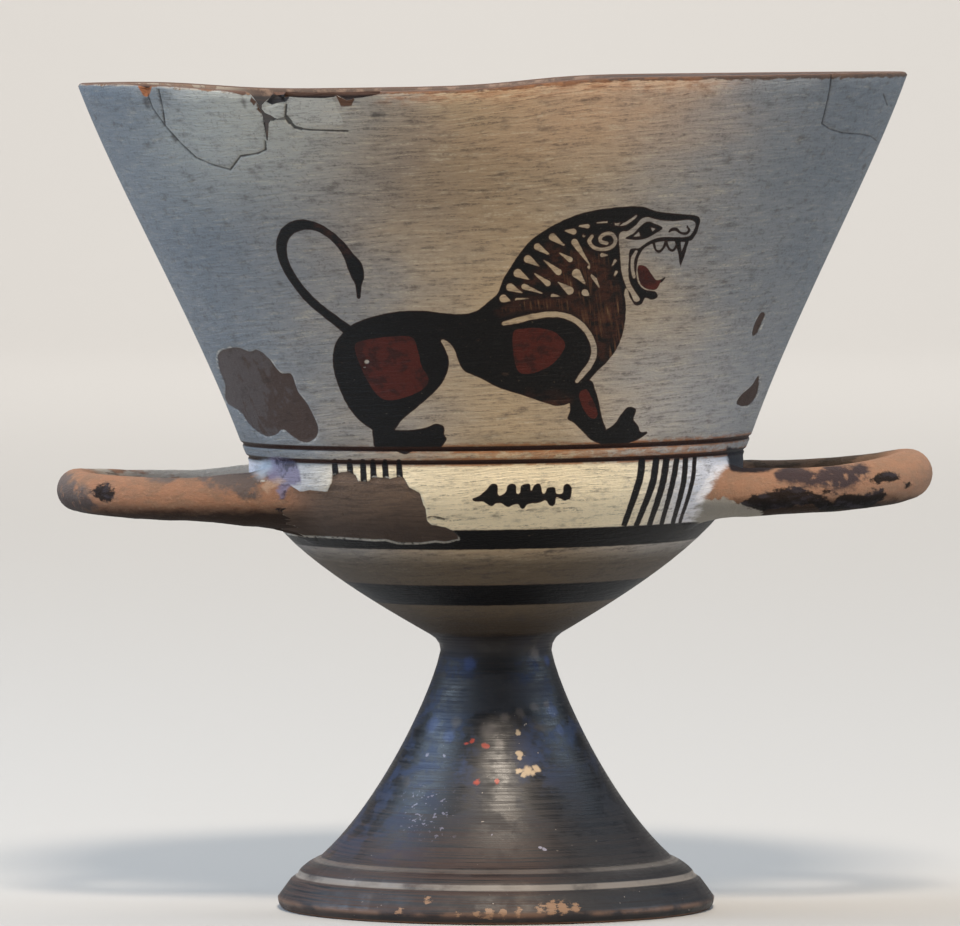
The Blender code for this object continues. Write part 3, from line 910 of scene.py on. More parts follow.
# The zone between the handles: bars by each root, the six strokes right of the front, and a
# knobbed bar in the middle of each side. Each stroke has a top, a middle, a foot and a width.
# Of six more by the left root only stubs are left.
STROKES = [
    ((26.2, 83.4), (25.7, 79.6), (23, 71.4), 1.3), ((28.8, 83.4), (28, 78.6), (25.3, 71.4), 1.25),
    ((30.7, 83.4), (29.9, 78.6), (27.7, 71.4), 1.25),
    ((32.6, 83.4), (31.8, 78.9), (29.9, 71.4), 1.05),
    ((34.2, 83.4), (33.8, 78.8), (32, 71.4), 1.05), ((35.9, 83.4), (35.4, 78.7), (33.3, 71.4), 0.8),
]
STROKE_TAPER = 0.8
WORN_STROKES = (-29.1, -26.4, -24, -22.2, -20, -17.5)
WORN_STROKE_HEIGHTS = (83.8, 80.2)
WORN_STROKE_WIDTHS = (1.1, 1.2)
KNOBBED_BAR = [
    (-4.3, 77.1), (-3.2, 77.6), (-1.7, 78.8), (-1.1, 79.6), (-0.4, 79.8), (0.2, 79.4), (0.3, 77.8),
    (0.9, 77.7), (1.7, 78.3), (2, 79.4), (2.8, 79.8), (3.5, 79.4), (3.6, 78), (4.2, 78),
    (4.4, 79.3), (5.3, 79.7), (6, 79.6), (6.2, 78.4), (6.7, 79.3), (7.5, 79.7), (8, 79.2),
    (8.3, 77.9), (8.8, 78), (9.1, 78.8), (10.2, 79), (10.6, 78.7), (10.8, 77.8), (11.9, 77.9),
    (12.1, 79.2), (12.8, 79.5), (13.5, 78.8), (13.4, 77.4), (13, 76.4), (12.4, 76.4), (10.8, 77.1),
    (10.6, 76), (10, 75.5), (9.4, 75.8), (8.8, 76.6), (7.7, 76.2), (5.6, 76), (5, 75.2),
    (4.4, 75.2), (3.9, 76), (3, 75.9), (2.2, 75.5), (1.6, 75.7), (0.9, 76.2), (-0.1, 76.2),
    (-0.9, 75.7), (-1.7, 76.1), (-2.5, 76.6), (-3.8, 76.6),
]


def paint_zone(canvas):
    """The dark strokes and the knobbed bar."""
    marks = [canvas.patch(KNOBBED_BAR)]
    for top, middle, foot, width in STROKES:
        end = (*foot, width * STROKE_TAPER)
        marks.append(canvas.stroke([(*top, width), (*middle, width), end]))
    high, low = WORN_STROKE_HEIGHTS
    wide, wider = WORN_STROKE_WIDTHS
    for x in WORN_STROKES:
        marks.append(canvas.stroke([(x, high, wide), (x + 0.2, low, wider)]))
    return both(*marks)


# Wear: slip flaked off the clay in broad patches, hair cracks from the mended breaks, and clay
# showing where the edges were rubbed. A crack or a spot of dirt has a width and its points.
FLAKED_WALL = [
    (-50.2, 103.2), (-47, 104.3), (-44.4, 103.6), (-43, 104), (-41, 102.6), (-38.8, 99.9),
    (-36.8, 99.6), (-35.6, 96.4), (-34.2, 94.6), (-33, 92.3), (-32.1, 89.9), (-32.6, 88),
    (-34.5, 87.1), (-36.3, 87.8), (-38.6, 89.4), (-39.8, 88.4), (-41.9, 88), (-44.7, 89.8),
    (-46.6, 92.2), (-49.3, 93.8), (-49.4, 97.1), (-50.4, 100.3),
]
FLAKED_ZONE = [
    (-47, 79.4), (-43.2, 79.8), (-40.1, 79.8), (-38.4, 79.2), (-37.6, 79.4), (-35.6, 78),
    (-33.9, 78.4), (-30.6, 78.2), (-29.7, 80), (-29.6, 81), (-28.2, 81.8), (-26.6, 82),
    (-25.4, 81.4), (-24.9, 80.3), (-23.4, 80.2), (-22, 81), (-20.2, 81), (-19.2, 80.8),
    (-17.6, 81.2), (-16.6, 80.9), (-15.7, 79.2), (-13.7, 78.1), (-13.2, 76.2), (-12.7, 75.2),
    (-12.5, 73.1), (-11.7, 72.3), (-9.2, 71.8), (-8, 71.2), (-7.2, 70.5), (-6.8, 69.6),
    (-9.2, 69.1), (-11, 69.3), (-13.6, 68.9), (-17.7, 68.9), (-20, 69.5), (-22.1, 69.4),
    (-28.3, 69.7), (-35.7, 69.7), (-43, 69.4), (-47, 72),
]
FLAKED_RIGHT = [
    [(48.8, 109.2), (48.4, 107.6), (47.3, 105.5), (46.4, 105.2), (46.9, 107.3), (48, 109.3)],
    [(47.9, 97.6), (46.5, 95.8), (44.6, 94.3), (43.7, 92.7), (45.8, 92.1), (47.6, 94)],
]
BROWN_CHIPS = [
    [
        (-63.9, 153.5), (-63.4, 151.4), (-62.5, 150.2), (-61.7, 150.3), (-61.2, 151.4),
        (-61.3, 153.5),
    ],
    [(-27.8, 153), (-27.2, 150.2), (-26.5, 148.8), (-25.8, 148.8), (-24.9, 149.8), (-24.5, 153)],
]
NOTCH_EDGE = [
    (-47.4, 152.4, 0.4), (-44.9, 152.1, 0.7), (-43.6, 151.4, 0.9), (-42.8, 150.7, 1),
    (-42, 149.7, 0.9), (-41.4, 148.5, 0.6), (-41.1, 147.5, 0.3),
]
DARK_CHIP = [
    (-40.9, 149.2), (-40.2, 150.4), (-39.5, 151.4), (-38.8, 153.4), (-36.2, 153.4), (-36.3, 150.8),
    (-37.9, 150.3), (-39.2, 149.9),
]
RESET_SHERDS = [
    [
        (-40.8, 149), (-40.1, 149.7), (-38, 150.1), (-36.8, 149.9), (-36.9, 147.1), (-38.3, 147),
        (-40.3, 148.1),
    ],
    [
        (-36.2, 151.6), (-28.2, 151.6), (-27.8, 149.2), (-26.8, 147.4), (-26.4, 145.9),
        (-33.3, 145.9), (-35.7, 146.8),
    ],
]
PITS = [(-23.2, 102, 1.1), (-23.6, 101, 0.6), (-11.9, 73.5, 0.9)]
CRACKS = [
    (0.28, [(-40.6, 146.2), (-40.5, 141), (-41.9, 140.3), (-45.1, 139.7), (-47, 137.1)]),
    (0.22, [
        (-47, 137.1), (-50.3, 138), (-53.2, 139.2), (-56.1, 141.9), (-58.8, 144.9), (-59.1, 147.8),
        (-59.8, 151.5),
    ]),
    (0.2, [(-58.8, 144.9), (-61, 148), (-61.9, 150.5)]),
    (0.8, [(-36.7, 147.4), (-36, 146.4)]),
    (0.5, [(-36, 146.4), (-35.1, 145.4), (-34, 145.1)]),
    (0.26, [(-34, 145.1), (-32.4, 144.9), (-28.9, 144.7), (-25.8, 144.6)]),
    (0.4, [(-40.6, 147), (-37.2, 146.9)]),
    (0.34, [(-36.6, 149.9), (-36.9, 147.2)]),
    (0.22, [
        (60.6, 152.4), (60.3, 149.4), (59.6, 146.2), (58.9, 143.4), (60.4, 142.4), (62.9, 141.6),
    ]),
    (0.18, [(62.9, 141.6), (66.2, 141.3), (68.5, 140.8), (69.8, 139.9)]),
    (0.2, [(70.7, 148.4), (71.6, 146.4)]),
    (0.28, [(-12.3, 73.6), (-11.3, 73.8), (-10.2, 73.6), (-9.4, 73.3)]),
]
DIRT = [
    (0.7, [(-44.2, 151), (-44, 149.5)]),
    (0.9, [(-21.4, 147.8), (-18.9, 148.1)]),
    (0.5, [(-55.9, 146.4), (-55.7, 146.2)]),
    (0.6, [(-62.3, 149.6), (-61.9, 148.4)]),
    (0.7, [(67.5, 135.6), (67.4, 134.4)]),
    (0.4, [(-57.4, 143), (-56.9, 142.4)]),
]
BLOT = [
    (-41.6, 83.7), (-39.1, 84.3), (-36.5, 83.6), (-35.5, 81.5), (-35.2, 79.9), (-36.8, 79.2),
    (-37.8, 78.5), (-38.5, 76.4), (-39.5, 76.2), (-39.8, 77.7), (-39.1, 79.4), (-40.5, 79.6),
    (-41.8, 80.8), (-42.5, 82.1),
]
BLOT_HIGHLIGHT = [
    (-42.9, 83), (-41.1, 83.4), (-40.6, 82.2), (-41.7, 80.9), (-43.2, 80.4), (-43.9, 81.3),
]
PALE_FLAKE = [
    (-42.5, 79.1), (-40.8, 80.3), (-39.1, 80.6), (-37.8, 79.8), (-39.1, 79.4), (-40.3, 78.6),
    (-41.2, 77.6), (-42.2, 78.1),
]
DARK_CORNER = [
    (41.9, 84.8), (43.5, 84.5), (46, 84.1), (50, 83.4), (51.6, 81.6), (50, 80.4), (46, 80),
    (43.7, 80.2), (42.4, 80.6), (42, 82.4),
]
HANDLE_BLACKS = [
    [
        (43.6, 75.3), (46.5, 75.9), (49.8, 77), (55.2, 77.1), (56.6, 75.7), (55.7, 73.9),
        (48.3, 73.2), (45.2, 74),
    ],
    [
        (57.2, 76), (59.4, 77.3), (60.8, 76.9), (59.4, 75.6), (60, 74.6), (62, 74.7), (62.4, 77.2),
        (64.3, 75.6), (68.6, 76.4), (71.5, 75.4), (68.8, 73.4), (66.1, 72.8), (59.4, 73),
    ],
    [(68.6, 78.4), (70.4, 79.8), (73.5, 79.4), (73.1, 78), (71, 77.6), (69.5, 77.5)],
    [(74.2, 77.6), (75.5, 77.7), (76, 76.8), (74.8, 76.3)],
    [
        (-73.6, 77.6), (-72.4, 79), (-70.9, 79.3), (-69.8, 78.4), (-69.6, 77), (-70.8, 76.2),
        (-72.2, 76.6),
    ],
    [(-75.9, 78), (-75, 78.4), (-74.4, 77.6), (-75.2, 77)],
    [(-42, 75.3), (-41.2, 75.3), (-41.2, 74), (-42, 73.8)],
    [(-38, 75.4), (-37.1, 75.4), (-37.1, 74.2), (-38, 74)],
]
HANDLE_GREYS = [
    [
        (-81, 81), (-78.6, 81.2), (-76.4, 79.6), (-74.6, 78.6), (-74, 76.6), (-73, 75.4),
        (-75, 73.4), (-81, 73.4),
    ],
    [
        (-54.4, 81), (-50.9, 82.5), (-46.4, 83.2), (-41.3, 83.6), (-41.4, 80.5), (-44.6, 79.1),
        (-42.4, 77.9), (-42.4, 76.9), (-45.1, 76.7), (-47.1, 77.6), (-49.3, 78.4), (-52.6, 79.2),
    ],
    [(-63.4, 81.1), (-61.3, 82.4), (-58.5, 82.4), (-58.2, 79.4), (-62.7, 79.9)],
    [
        (51.6, 80.1), (53.6, 80.4), (55.4, 79.7), (57.9, 79.1), (57.2, 78.4), (55, 78.9),
        (52.8, 79.1),
    ],
    [
        (57.9, 77.8), (59.7, 79.6), (62.3, 80.3), (63.9, 79.2), (66.4, 80.4), (67, 79.9),
        (65, 78.6), (63.9, 77.4), (61.9, 77.2), (60.1, 78),
    ],
]
HANDLE_SLIPPED = [
    [(36, 75.2), (39.1, 75.6), (42.3, 75.3), (46, 74.2), (48.4, 73), (46, 70), (36, 70)],
]
SLIP_THICKNESS = 0.22
SLIP_EDGE = 0.35
CRACK_DEPTH = 0.25
CRACK_EDGE = 0.3
PIT_DEPTH = 0.35
PIT_EDGE = 0.4
CHIP_DEPTH = 0.7
# How close to a painted edge, and to a crack, the cells are halved each time.
EDGE_REACHES = (2.0, 0.8, 0.25, 0.0)
CRACK_REACHES = (3.2, 1.7, 0.9, 0.5)
TURNED_WITHIN = 0.08
HANDLE_BAND = (60, 95)


def wear_down(canvas):
    """Where slip has flaked off, where there are pits, and the cracks."""
    flaked = canvas.patches([FLAKED_WALL, *FLAKED_RIGHT])
    lost = both(flaked, canvas.patch(FLAKED_ZONE, smooth=False))
    pits = both(*[canvas.stroke([(x, z), (x + 0.2, z)], size) for x, z, size in PITS])
    cracks = both(*[canvas.stroke(run, width, smooth=False) for width, run in CRACKS])
    return lost, pits, cracks


def refine(mesh, reach, crack_reach):
    """Halves the cells near a painted edge or a crack, and those that an edge crosses."""
    canvas = Canvas(mesh)
    lion_black, red, *_ = paint_lion(canvas)
    lost, pits, cracks = wear_down(canvas)
    fields = [lion_black, red, paint_zone(canvas), paint_zone(Canvas(mesh, facing=1))]
    fields = np.stack(fields + ([lost, pits] if reach else []))
    near = (np.abs(fields).min(axis=0) < reach) | (np.abs(cracks) < crack_reach)
    first, second = ends_of_edges(mesh)
    crossed = (fields[:, first] > 0) != (fields[:, second] > 0)
    crossed &= (fields[:, first] > OFF / 2) & (fields[:, second] > OFF / 2)
    cells = bmesh.new()
    cells.from_mesh(mesh)
    cells.edges.ensure_lookup_table()
    cut = [cells.edges[number] for number in np.where(crossed.any(axis=0))[0]]
    halve(cells, lambda point: near[point.index], cut)
    cells.to_mesh(mesh)
    cells.free()


def sharpen(mesh):
    """Makes the cells finer along painted edges and cracks, and keeps them on the turned wall."""
    for reaches in zip(EDGE_REACHES, CRACK_REACHES):
        refine(mesh, *reaches)
    canvas = Canvas(mesh)
    on_wall = np.abs(canvas.into_clay) < TURNED_WITHIN
    radius = np.hypot(canvas.true[:, 0], canvas.true[:, 1])
    share = np.where(on_wall, outer_radius(canvas.true[:, 2]) / np.maximum(radius, 1), 1)
    canvas.true[:, :2] *= share[:, None]
    move_to(mesh, canvas.true + kiln_shift(canvas.true))


def sunk(field, depth, edge, start=0.5):
    """How deep a mark lies at each place: its depth inside it, and sloping over its edge."""
    return depth * np.clip(field / edge + start, 0, 1)


def keep(name, values):
    """Stores a number for each place on the mesh, for the clay's material."""
    layer = chalice.data.attributes.new(name, "FLOAT", "POINT")
    layer.data.foreach_set("value", np.asarray(values, dtype=np.float32))


sharpen(chalice.data)
canvas = Canvas(chalice.data)
lion_black, red, thin, hairs = paint_lion(canvas)
lost, pits, cracks = wear_down(canvas)
brown_chips = both(canvas.patches(BROWN_CHIPS), canvas.stroke(NOTCH_EDGE))
dark_chip = canvas.patch(DARK_CHIP)
rods = Canvas(chalice.data, "handles")
step_down = sunk(lost, SLIP_THICKNESS, SLIP_EDGE)
step_down += sunk(cracks, CRACK_DEPTH, CRACK_EDGE) + sunk(pits, PIT_DEPTH, PIT_EDGE, 0)
step_down += sunk(both(brown_chips, dark_chip), CHIP_DEPTH, 1, 0)
normals = vectors_of(chalice.data, "normal")
move_to(chalice.data, canvas.places - normals * step_down[:, None])
layer = chalice.data.attributes.new("true place", "FLOAT_VECTOR", "POINT")
layer.data.foreach_set("vector", canvas.true.astype(np.float32).ravel())
keep("black", both(lion_black, paint_zone(canvas), paint_zone(Canvas(chalice.data, facing=1))))
keep("red", red)
keep("thin", thin)
keep("hairs", hairs)
keep("lost", lost)
keep("crack", cracks)
keep("pit", pits)
keep("chip", brown_chips)
keep("dark chip", dark_chip)
keep("sherd", canvas.patches(RESET_SHERDS, smooth=False))
keep("dirt", both(*[canvas.stroke(run, width) for width, run in DIRT]))
keep("rod black", rods.patches(HANDLE_BLACKS))
keep("rod grey", rods.patches(HANDLE_GREYS))
keep("rod slip", rods.patches(HANDLE_SLIPPED))
worn_canvases = (Canvas(chalice.data), Canvas(chalice.data, "handles"))
blots = {"blot": BLOT, "blot shine": BLOT_HIGHLIGHT}
blots.update({"pale flake": PALE_FLAKE, "dark corner": DARK_CORNER})
for name, shape in blots.items():
    keep(name, both(*[part.patch(shape) for part in worn_canvases]))
low, high = HANDLE_BAND
on_band = (canvas.true[:, 2] > low) & (canvas.true[:, 2] < high)
keep("handle", np.where(on_band, np.maximum(-canvas.into_clay, 0), 0))
keep("into clay", canvas.into_clay)


# The finish: pale slip brushed on while the cup turned, dark glaze for the lines, bands, foot
# and inside, red for details, and the wear of long burial over it.
BANDS = ((67.6, 71.3), (56.7, 60.7))
LINES = ((85.7, 86.6), (83.3, 84.15))
ZONE = (71.3, 83.0)
LOW_SPECULAR = 0.18
# How deep the relief is in millimetres, and how strongly it shows.
SLIP_RELIEF = (0.45, 1.0)


def ink(red_part, green_part, blue_part):
    """A colour as the eye names it, 0 to 255, in the linear light that a shader mixes."""
    shares = [part / 255 for part in (red_part, green_part, blue_part)]
    return (*[s / 12.92 if s <= 0.04045 else ((s + 0.055) / 1.055) ** 2.4 for s in shares], 1.0)


class Recipe(Wiring):
    """A material's steps: the true place of each point, stored measures, grain and the finish."""

    def __init__(self, material):
        material.use_nodes = True
        super().__init__(material.node_tree)
        self.place = self.node("ShaderNodeAttribute", attribute_name="true place").outputs["Vector"]

    def measure(self, name):
        return Number(self, self.node("ShaderNodeAttribute", attribute_name=name).outputs["Fac"])

    def noise(self, across, up, detail=3.0, roughness=0.55, place=None):
        """Noise over the true cup, with so many grains to a millimetre across it and up it."""
        spread = {0: self.place if place is None else place, 1: (across, across, up)}
        scaled = self.node("ShaderNodeVectorMath", spread, operation="MULTIPLY").outputs[0]
        grain = {"Vector": scaled, "Scale": 1.0, "Detail": detail, "Roughness": roughness}
        return Number(self, self.node("ShaderNodeTexNoise", grain).outputs["Fac"])

    def mix(self, under, over, mask, data_type="FLOAT", first_socket=2):
        """One number or colour over another where the mask says."""
        mixed = self.node("ShaderNodeMix", data_type=data_type)
        for socket, value in zip((0, first_socket, first_socket + 1), (mask, under, over)):
            self.feed(mixed.inputs[socket], value)
        return mixed

    def blend(self, under, over, mask):
        return Number(self, self.mix(under, over, mask).outputs[0])

    def finish(self, colour, roughness, specular, relief, depth, strength):
        """Gives the material its colour and gloss, and a relief so many millimetres deep."""
        shader = self.tree.nodes["Principled BSDF"]
        bump = {"Height": relief, "Distance": depth * MM, "Strength": strength}
        self.feed(shader.inputs["Base Color"], colour)
        self.feed(shader.inputs["Roughness"], roughness)
        shader.inputs["Specular IOR Level"].default_value = specular
        normal = self.node("ShaderNodeBump", bump).outputs["Normal"]
        self.feed(shader.inputs["Normal"], normal)


class Coats:
    """A colour built up in coats, each laid where its mask says."""

    def __init__(self, colour):
        self.colour = colour

    def lay(self, colour, mask):
        """Lays a colour, or other coats, over what is there."""
        over = colour.colour if isinstance(colour, Coats) else colour
        mixed = mask.wiring.mix(self.colour, over, mask, data_type="RGBA", first_socket=6)
        self.colour = mixed.outputs[2]
        return self


def step(value, low, high, top=1.0):
    """Rises from 0 at low to top at high."""
    reach = {"Value": value, "From Min": low, "From Max": high, "To Min": 0.0, "To Max": top}
    ramp = value.wiring.node("ShaderNodeMapRange", reach, interpolation_type="SMOOTHSTEP")
    return Number(value.wiring, ramp.outputs[0])


def between(value, low, high, soft):
    """1 from low to high, with soft ends."""
    return step(value, low - soft, low + soft) * (1.0 - step(value, high - soft, high + soft))


def any_of(*masks):
    """The strongest of these masks."""
    strongest = masks[0]
    for mask in masks[1:]:
        strongest = mask.wiring.sum("MAXIMUM", strongest, mask)
    return strongest


def stripes(height, spans, widening, soft):
    """On any of the stripes round the cup."""
    return any_of(*[between(height, low - widening, high + widening, soft) for low, high in spans])


recipe = Recipe(clay)
x, y, z = recipe.parts(recipe.place)
drift = recipe.noise(0.03, 0.03, 2.0)
brush_place = recipe.join(x * 0.16, y * 0.16, z * 2.0 + (x * -0.10 + drift * 6.0))
ridges = recipe.noise(1.0, 1.0, 5.0, 0.7, brush_place)
mottle = recipe.noise(0.30, 0.75, 5.0, 0.65)
fine = recipe.noise(1.6, 2.6, 3.0, 0.6)
broad = recipe.noise(0.05, 0.09, 4.0)
streak = recipe.noise(0.5, 0.9, 4.0, 0.7)
stains = recipe.noise(0.36, 0.36, 4.0, 0.6)
wander = (recipe.noise(0.8, 0.8) - 0.5) * 0.22
front = step(y, 20, -20)


def mark(name, edge, low, high, top=1.0):
    """On a mark that the mesh carries, its edge moved in and out by noise."""
    return step(recipe.measure(name) + edge, low, high, top)


def uneven(value, amount):
    """A number moved up and down by the mottling."""
    return value + (mottle - 0.5) * amount


def cloud(centre, scatter, reach, top):
    """Nearness to a place across the cup, with a cloudy edge."""
    return step(abs(x - centre) + (broad - 0.5) * scatter, reach, 2, top)


# The brushed slip: ridges of the brush round the cup, its body painted greyer and then bluer
# towards the sides for the cool side light, warm stains, a dark one that is partly painted shade,
# specks.
CREAM = ink(244, 228, 194)
CREAM_IN_COOL_LIGHT = ink(196, 194, 194)
CREAM_WITH_REFLECTION = ink(232, 232, 238)
PINK_CREAM = ink(226, 222, 228)
SLIP_IN_SIDE_LIGHT = ink(144, 144, 144)
SLIP_IN_COOL_SIDE_LIGHT = ink(117, 123, 129)
SANDY_SLIP = ink(186, 164, 134)
PALE_SLIP = ink(206, 204, 190)
LOW_SLIP = ink(184, 180, 176)
SHERD_SLIP = ink(196, 196, 190)
WARM_STAIN = ink(200, 164, 132)
DARK_STAIN_AND_SHADE = ink(132, 112, 92)
BROWN_SLIP_IN_SHADE = ink(76, 66, 55)
NECK_SHADE = ink(48, 40, 34)
SPECK = ink(70, 64, 62)
PALE_STROKE = ink(206, 194, 170)

sideways = abs(x - 4.0 + (broad - 0.5) * 36.0)
skin = Coats(SANDY_SLIP)
# Painted light: the slip turns grey, then blue-grey, away from the front, as the cool side lights
# fall on it.
skin.lay(SLIP_IN_SIDE_LIGHT, step(sideways, 0, 42))
skin.lay(SLIP_IN_COOL_SIDE_LIGHT, step(sideways, 28, 66))
# A dark patch high on the front, partly a stain and partly painted shade.
skin.lay(DARK_STAIN_AND_SHADE, between(z, 124, 146, 10) * cloud(-6.0, 30.0, 38, 0.5) * front)
skin.lay(WARM_STAIN, step(z, 132, 150) * cloud(17.0, 30.0, 36, 0.75) * front)
skin.lay(PALE_SLIP, step(z, 122, 148) * cloud(-43.0, 16.0, 28, 0.5))
skin.lay(LOW_SLIP, step(z, 116, 92) * step(abs(x - 34.0), 24, 6, 0.5))
# The zone's slip: its own cream, partly brightened as painted light, painted cooler towards the
# sides, and whiter on the right as a painted reflection.
zone_slip = Coats(CREAM)
zone_slip.lay(CREAM_IN_COOL_LIGHT, step(abs(x), 22, 36))
zone_slip.lay(CREAM_WITH_REFLECTION, step(x, 28, 38))
zone_slip.lay(PINK_CREAM, step(x, -34, -40))
skin.lay(zone_slip, between(z, *ZONE, 0.4) * 0.94)
skin.lay(SHERD_SLIP, step(recipe.measure("sherd"), -0.1, 0.1, 0.4))
# Below the bands the slip is darker brown, partly its own colour and partly painted shade where the
# bowl turns under. It is darkest towards the neck.
skin.lay(BROWN_SLIP_IN_SHADE, 0.88 - step(z, 64, 69, 0.88))
skin.lay(NECK_SHADE, step(z, 57, 52, 0.7))
skin.lay(SPECK, step(mottle, 0.50, 0.74, 0.5))
calm = 1.0 - step(sideways, 22, 52, 0.55)
dark_strokes = calm * (step(ridges, 0.50, 0.64, 0.6) * step(fine, 0.34, 0.62))
pale_strokes = calm * (step(ridges, 0.50, 0.34, 0.5) * step(fine, 0.36, 0.60))
skin.lay(SPECK, dark_strokes)
skin.lay(PALE_STROKE, pale_strokes * step(z, 60, 74))
pitting = step(recipe.noise(1.4, 1.4, 3.0, 0.6), 0.56, 0.70, 0.32) * step(sideways, 14, 36)
skin.lay(SPECK, pitting * step(z, 88, 110))
skin.lay(SPECK, step(recipe.measure("dirt"), -0.5, 0.2, 0.7))

# The paint: edges that wander a little with the brush, brown where the glaze lies thin.
BLACK_GLAZE = ink(13, 12, 13)
BROWN_GLAZE = ink(62, 34, 24)
GOLDEN_GLAZE = ink(88, 56, 37)
GOLDEN_STRAND = ink(142, 112, 80)
IRON_RED = ink(78, 31, 24)
SPENT_RED = ink(44, 22, 20)
LINE_STAIN = ink(150, 92, 52)
RUST = ink(160, 104, 62)

black_edge = recipe.measure("black") + wander
red_edge = recipe.measure("red") + wander
on_line = stripes(z, LINES, 0, 0.12)
on_band = stripes(z + wander, BANDS, 0, 0.12)
painted = any_of(step(black_edge, -0.07, 0.07), any_of(on_band, on_line))
line_thin = on_line * step(recipe.noise(0.08, 0.2), 0.38, 0.6, 0.6)
thinness = any_of(recipe.measure("thin") * step(streak, 0.35, 0.6), line_thin)
thin_edge = 0.55 - step(black_edge, 0.0, 0.3, 0.55)
thinness = recipe.sum("MAXIMUM", thinness, thin_edge, clamp=True)
glaze = Coats(BLACK_GLAZE)
glaze.lay(BROWN_GLAZE, thinness * (1.0 - on_band))
strands = recipe.noise(2.0, 0.16, 2.0, 0.5, recipe.join(x + z * 0.12, 0.0, z))
in_throat = step(recipe.measure("hairs"), -0.7, 0.3)
glaze.lay(GOLDEN_GLAZE, in_throat * step(strands, 0.48, 0.58, 0.7))
glaze.lay(GOLDEN_STRAND, in_throat * step(strands, 0.62, 0.68, 0.6))
iron_red = Coats(IRON_RED).lay(SPENT_RED, step(stains, 0.46, 0.60, 0.75))
glaze.lay(iron_red, step(red_edge, -0.08, 0.08, 0.9))
line_stain = step(x, -34, -8, 0.7) * step(mottle, 0.38, 0.54)
skin.lay(LINE_STAIN, stripes(z, LINES, 0.3, 0.15) * line_stain)
between_lines = between(z, 83.6, 87.2, 0.3) * (step(x, -22, 0) * step(streak, 0.42, 0.58, 0.55))
skin.lay(RUST, between_lines * step(x, 50, 36))
skin.lay(glaze, painted * (1.0 - step(fine, 0.66, 0.76) * 0.2))
red_alone = step(red_edge, -0.08, 0.08)
skin.lay(iron_red, red_alone)
painted = any_of(painted, red_alone)

# Just above the neck the slip gives way to the foot's glaze.
NECK_GLAZE = ink(36, 31, 30)
foot = 1.0 - step(uneven(z, 2.0), 50.0, 51.4)
skin.lay(NECK_GLAZE, foot)

# The handles: bare clay, painted darker underneath as shade, with what is left of their black and
# grey glaze and slip.
BARE_CLAY = ink(150, 110, 86)
DULL_CLAY = ink(134, 104, 84)
LIGHT_CLAY = ink(172, 134, 108)
ROSY_CLAY = ink(180, 144, 120)
UNDERSIDE_SHADE = ink(34, 27, 24)
FAR_SLIP = ink(186, 174, 160)
FAR_CLAY = ink(92, 77, 64)
GREY_RIM = ink(150, 146, 138)
HANDLE_SLIP = ink(96, 87, 83)
LOW_GREY = ink(62, 56, 56)
BLUE_GREY = ink(46, 43, 52)
BLUE_BLACK = ink(44, 42, 50)

ragged = (recipe.noise(0.35, 0.5, 5.0, 0.65) - 0.5) * 4.0
handle = step(uneven(recipe.measure("handle"), 3.0), 0.4, 1.6)
far_limb = step(y, 4, 10)
glaze_patches = step(recipe.noise(0.09, 0.2, 4.0, 0.6), 0.47, 0.54, 0.9)
slip_patches = step(recipe.noise(0.12, 0.3, 4.0, 0.6), 0.36, 0.48, 0.85)
rod = Coats(BARE_CLAY)
rod.lay(DULL_CLAY, step(mottle, 0.40, 0.62))
rod.lay(LIGHT_CLAY, step(fine, 0.55, 0.75, 0.6))
rod.lay(ROSY_CLAY, step(x, 30, 44, 0.28))
# Painted shade: the rods' undersides darkened.
rod.lay(UNDERSIDE_SHADE, step(uneven(z, 3.0), 76.4, 73.6, 0.95))
rod.lay(BLACK_GLAZE, glaze_patches * far_limb)
rod.lay(FAR_SLIP, far_limb * slip_patches * step(x, -34, -40))
rod.lay(FAR_CLAY, far_limb * step(x, 40, 48, 0.7))
rod.lay(GREY_RIM, mark("rod slip", ragged, -0.2, 0.2))
grey_reach = recipe.measure("rod grey") + ragged + step(x, 10, 20, 0.9)
grey_glaze = Coats(HANDLE_SLIP)
grey_glaze.lay(LOW_GREY, step(uneven(z, 4.0), 79, 75))
grey_glaze.lay(BLUE_GREY, step(x, 10, 20))
rod.lay(grey_glaze, step(grey_reach, -0.6, 0.6, 0.9) * step(stains, 0.30, 0.44))
black_glaze = Coats(BLACK_GLAZE).lay(BLUE_BLACK, step(mottle, 0.45, 0.65))
rod.lay(black_glaze, mark("rod black", ragged, -0.2, 0.3, 0.95))
skin.lay(rod, handle)

# Where the slip has flaked off: dull clay, cooler on the wall, warm by the handle, pale edges, and
# painted darker towards its lower edge as shade.
FLAKED_CLAY = ink(90, 75, 65)
FLAKED_LIGHT = ink(114, 94, 79)
FLAKED_COOL = ink(88, 79, 76)
FLAKED_WARM = ink(76, 60, 53)
FLAKED_SHADE = ink(56, 47, 43)
FLAKED_SPOT = ink(58, 48, 44)
SLIP_BREAK = ink(206, 200, 188)
PIT_WHITE = ink(216, 208, 196)

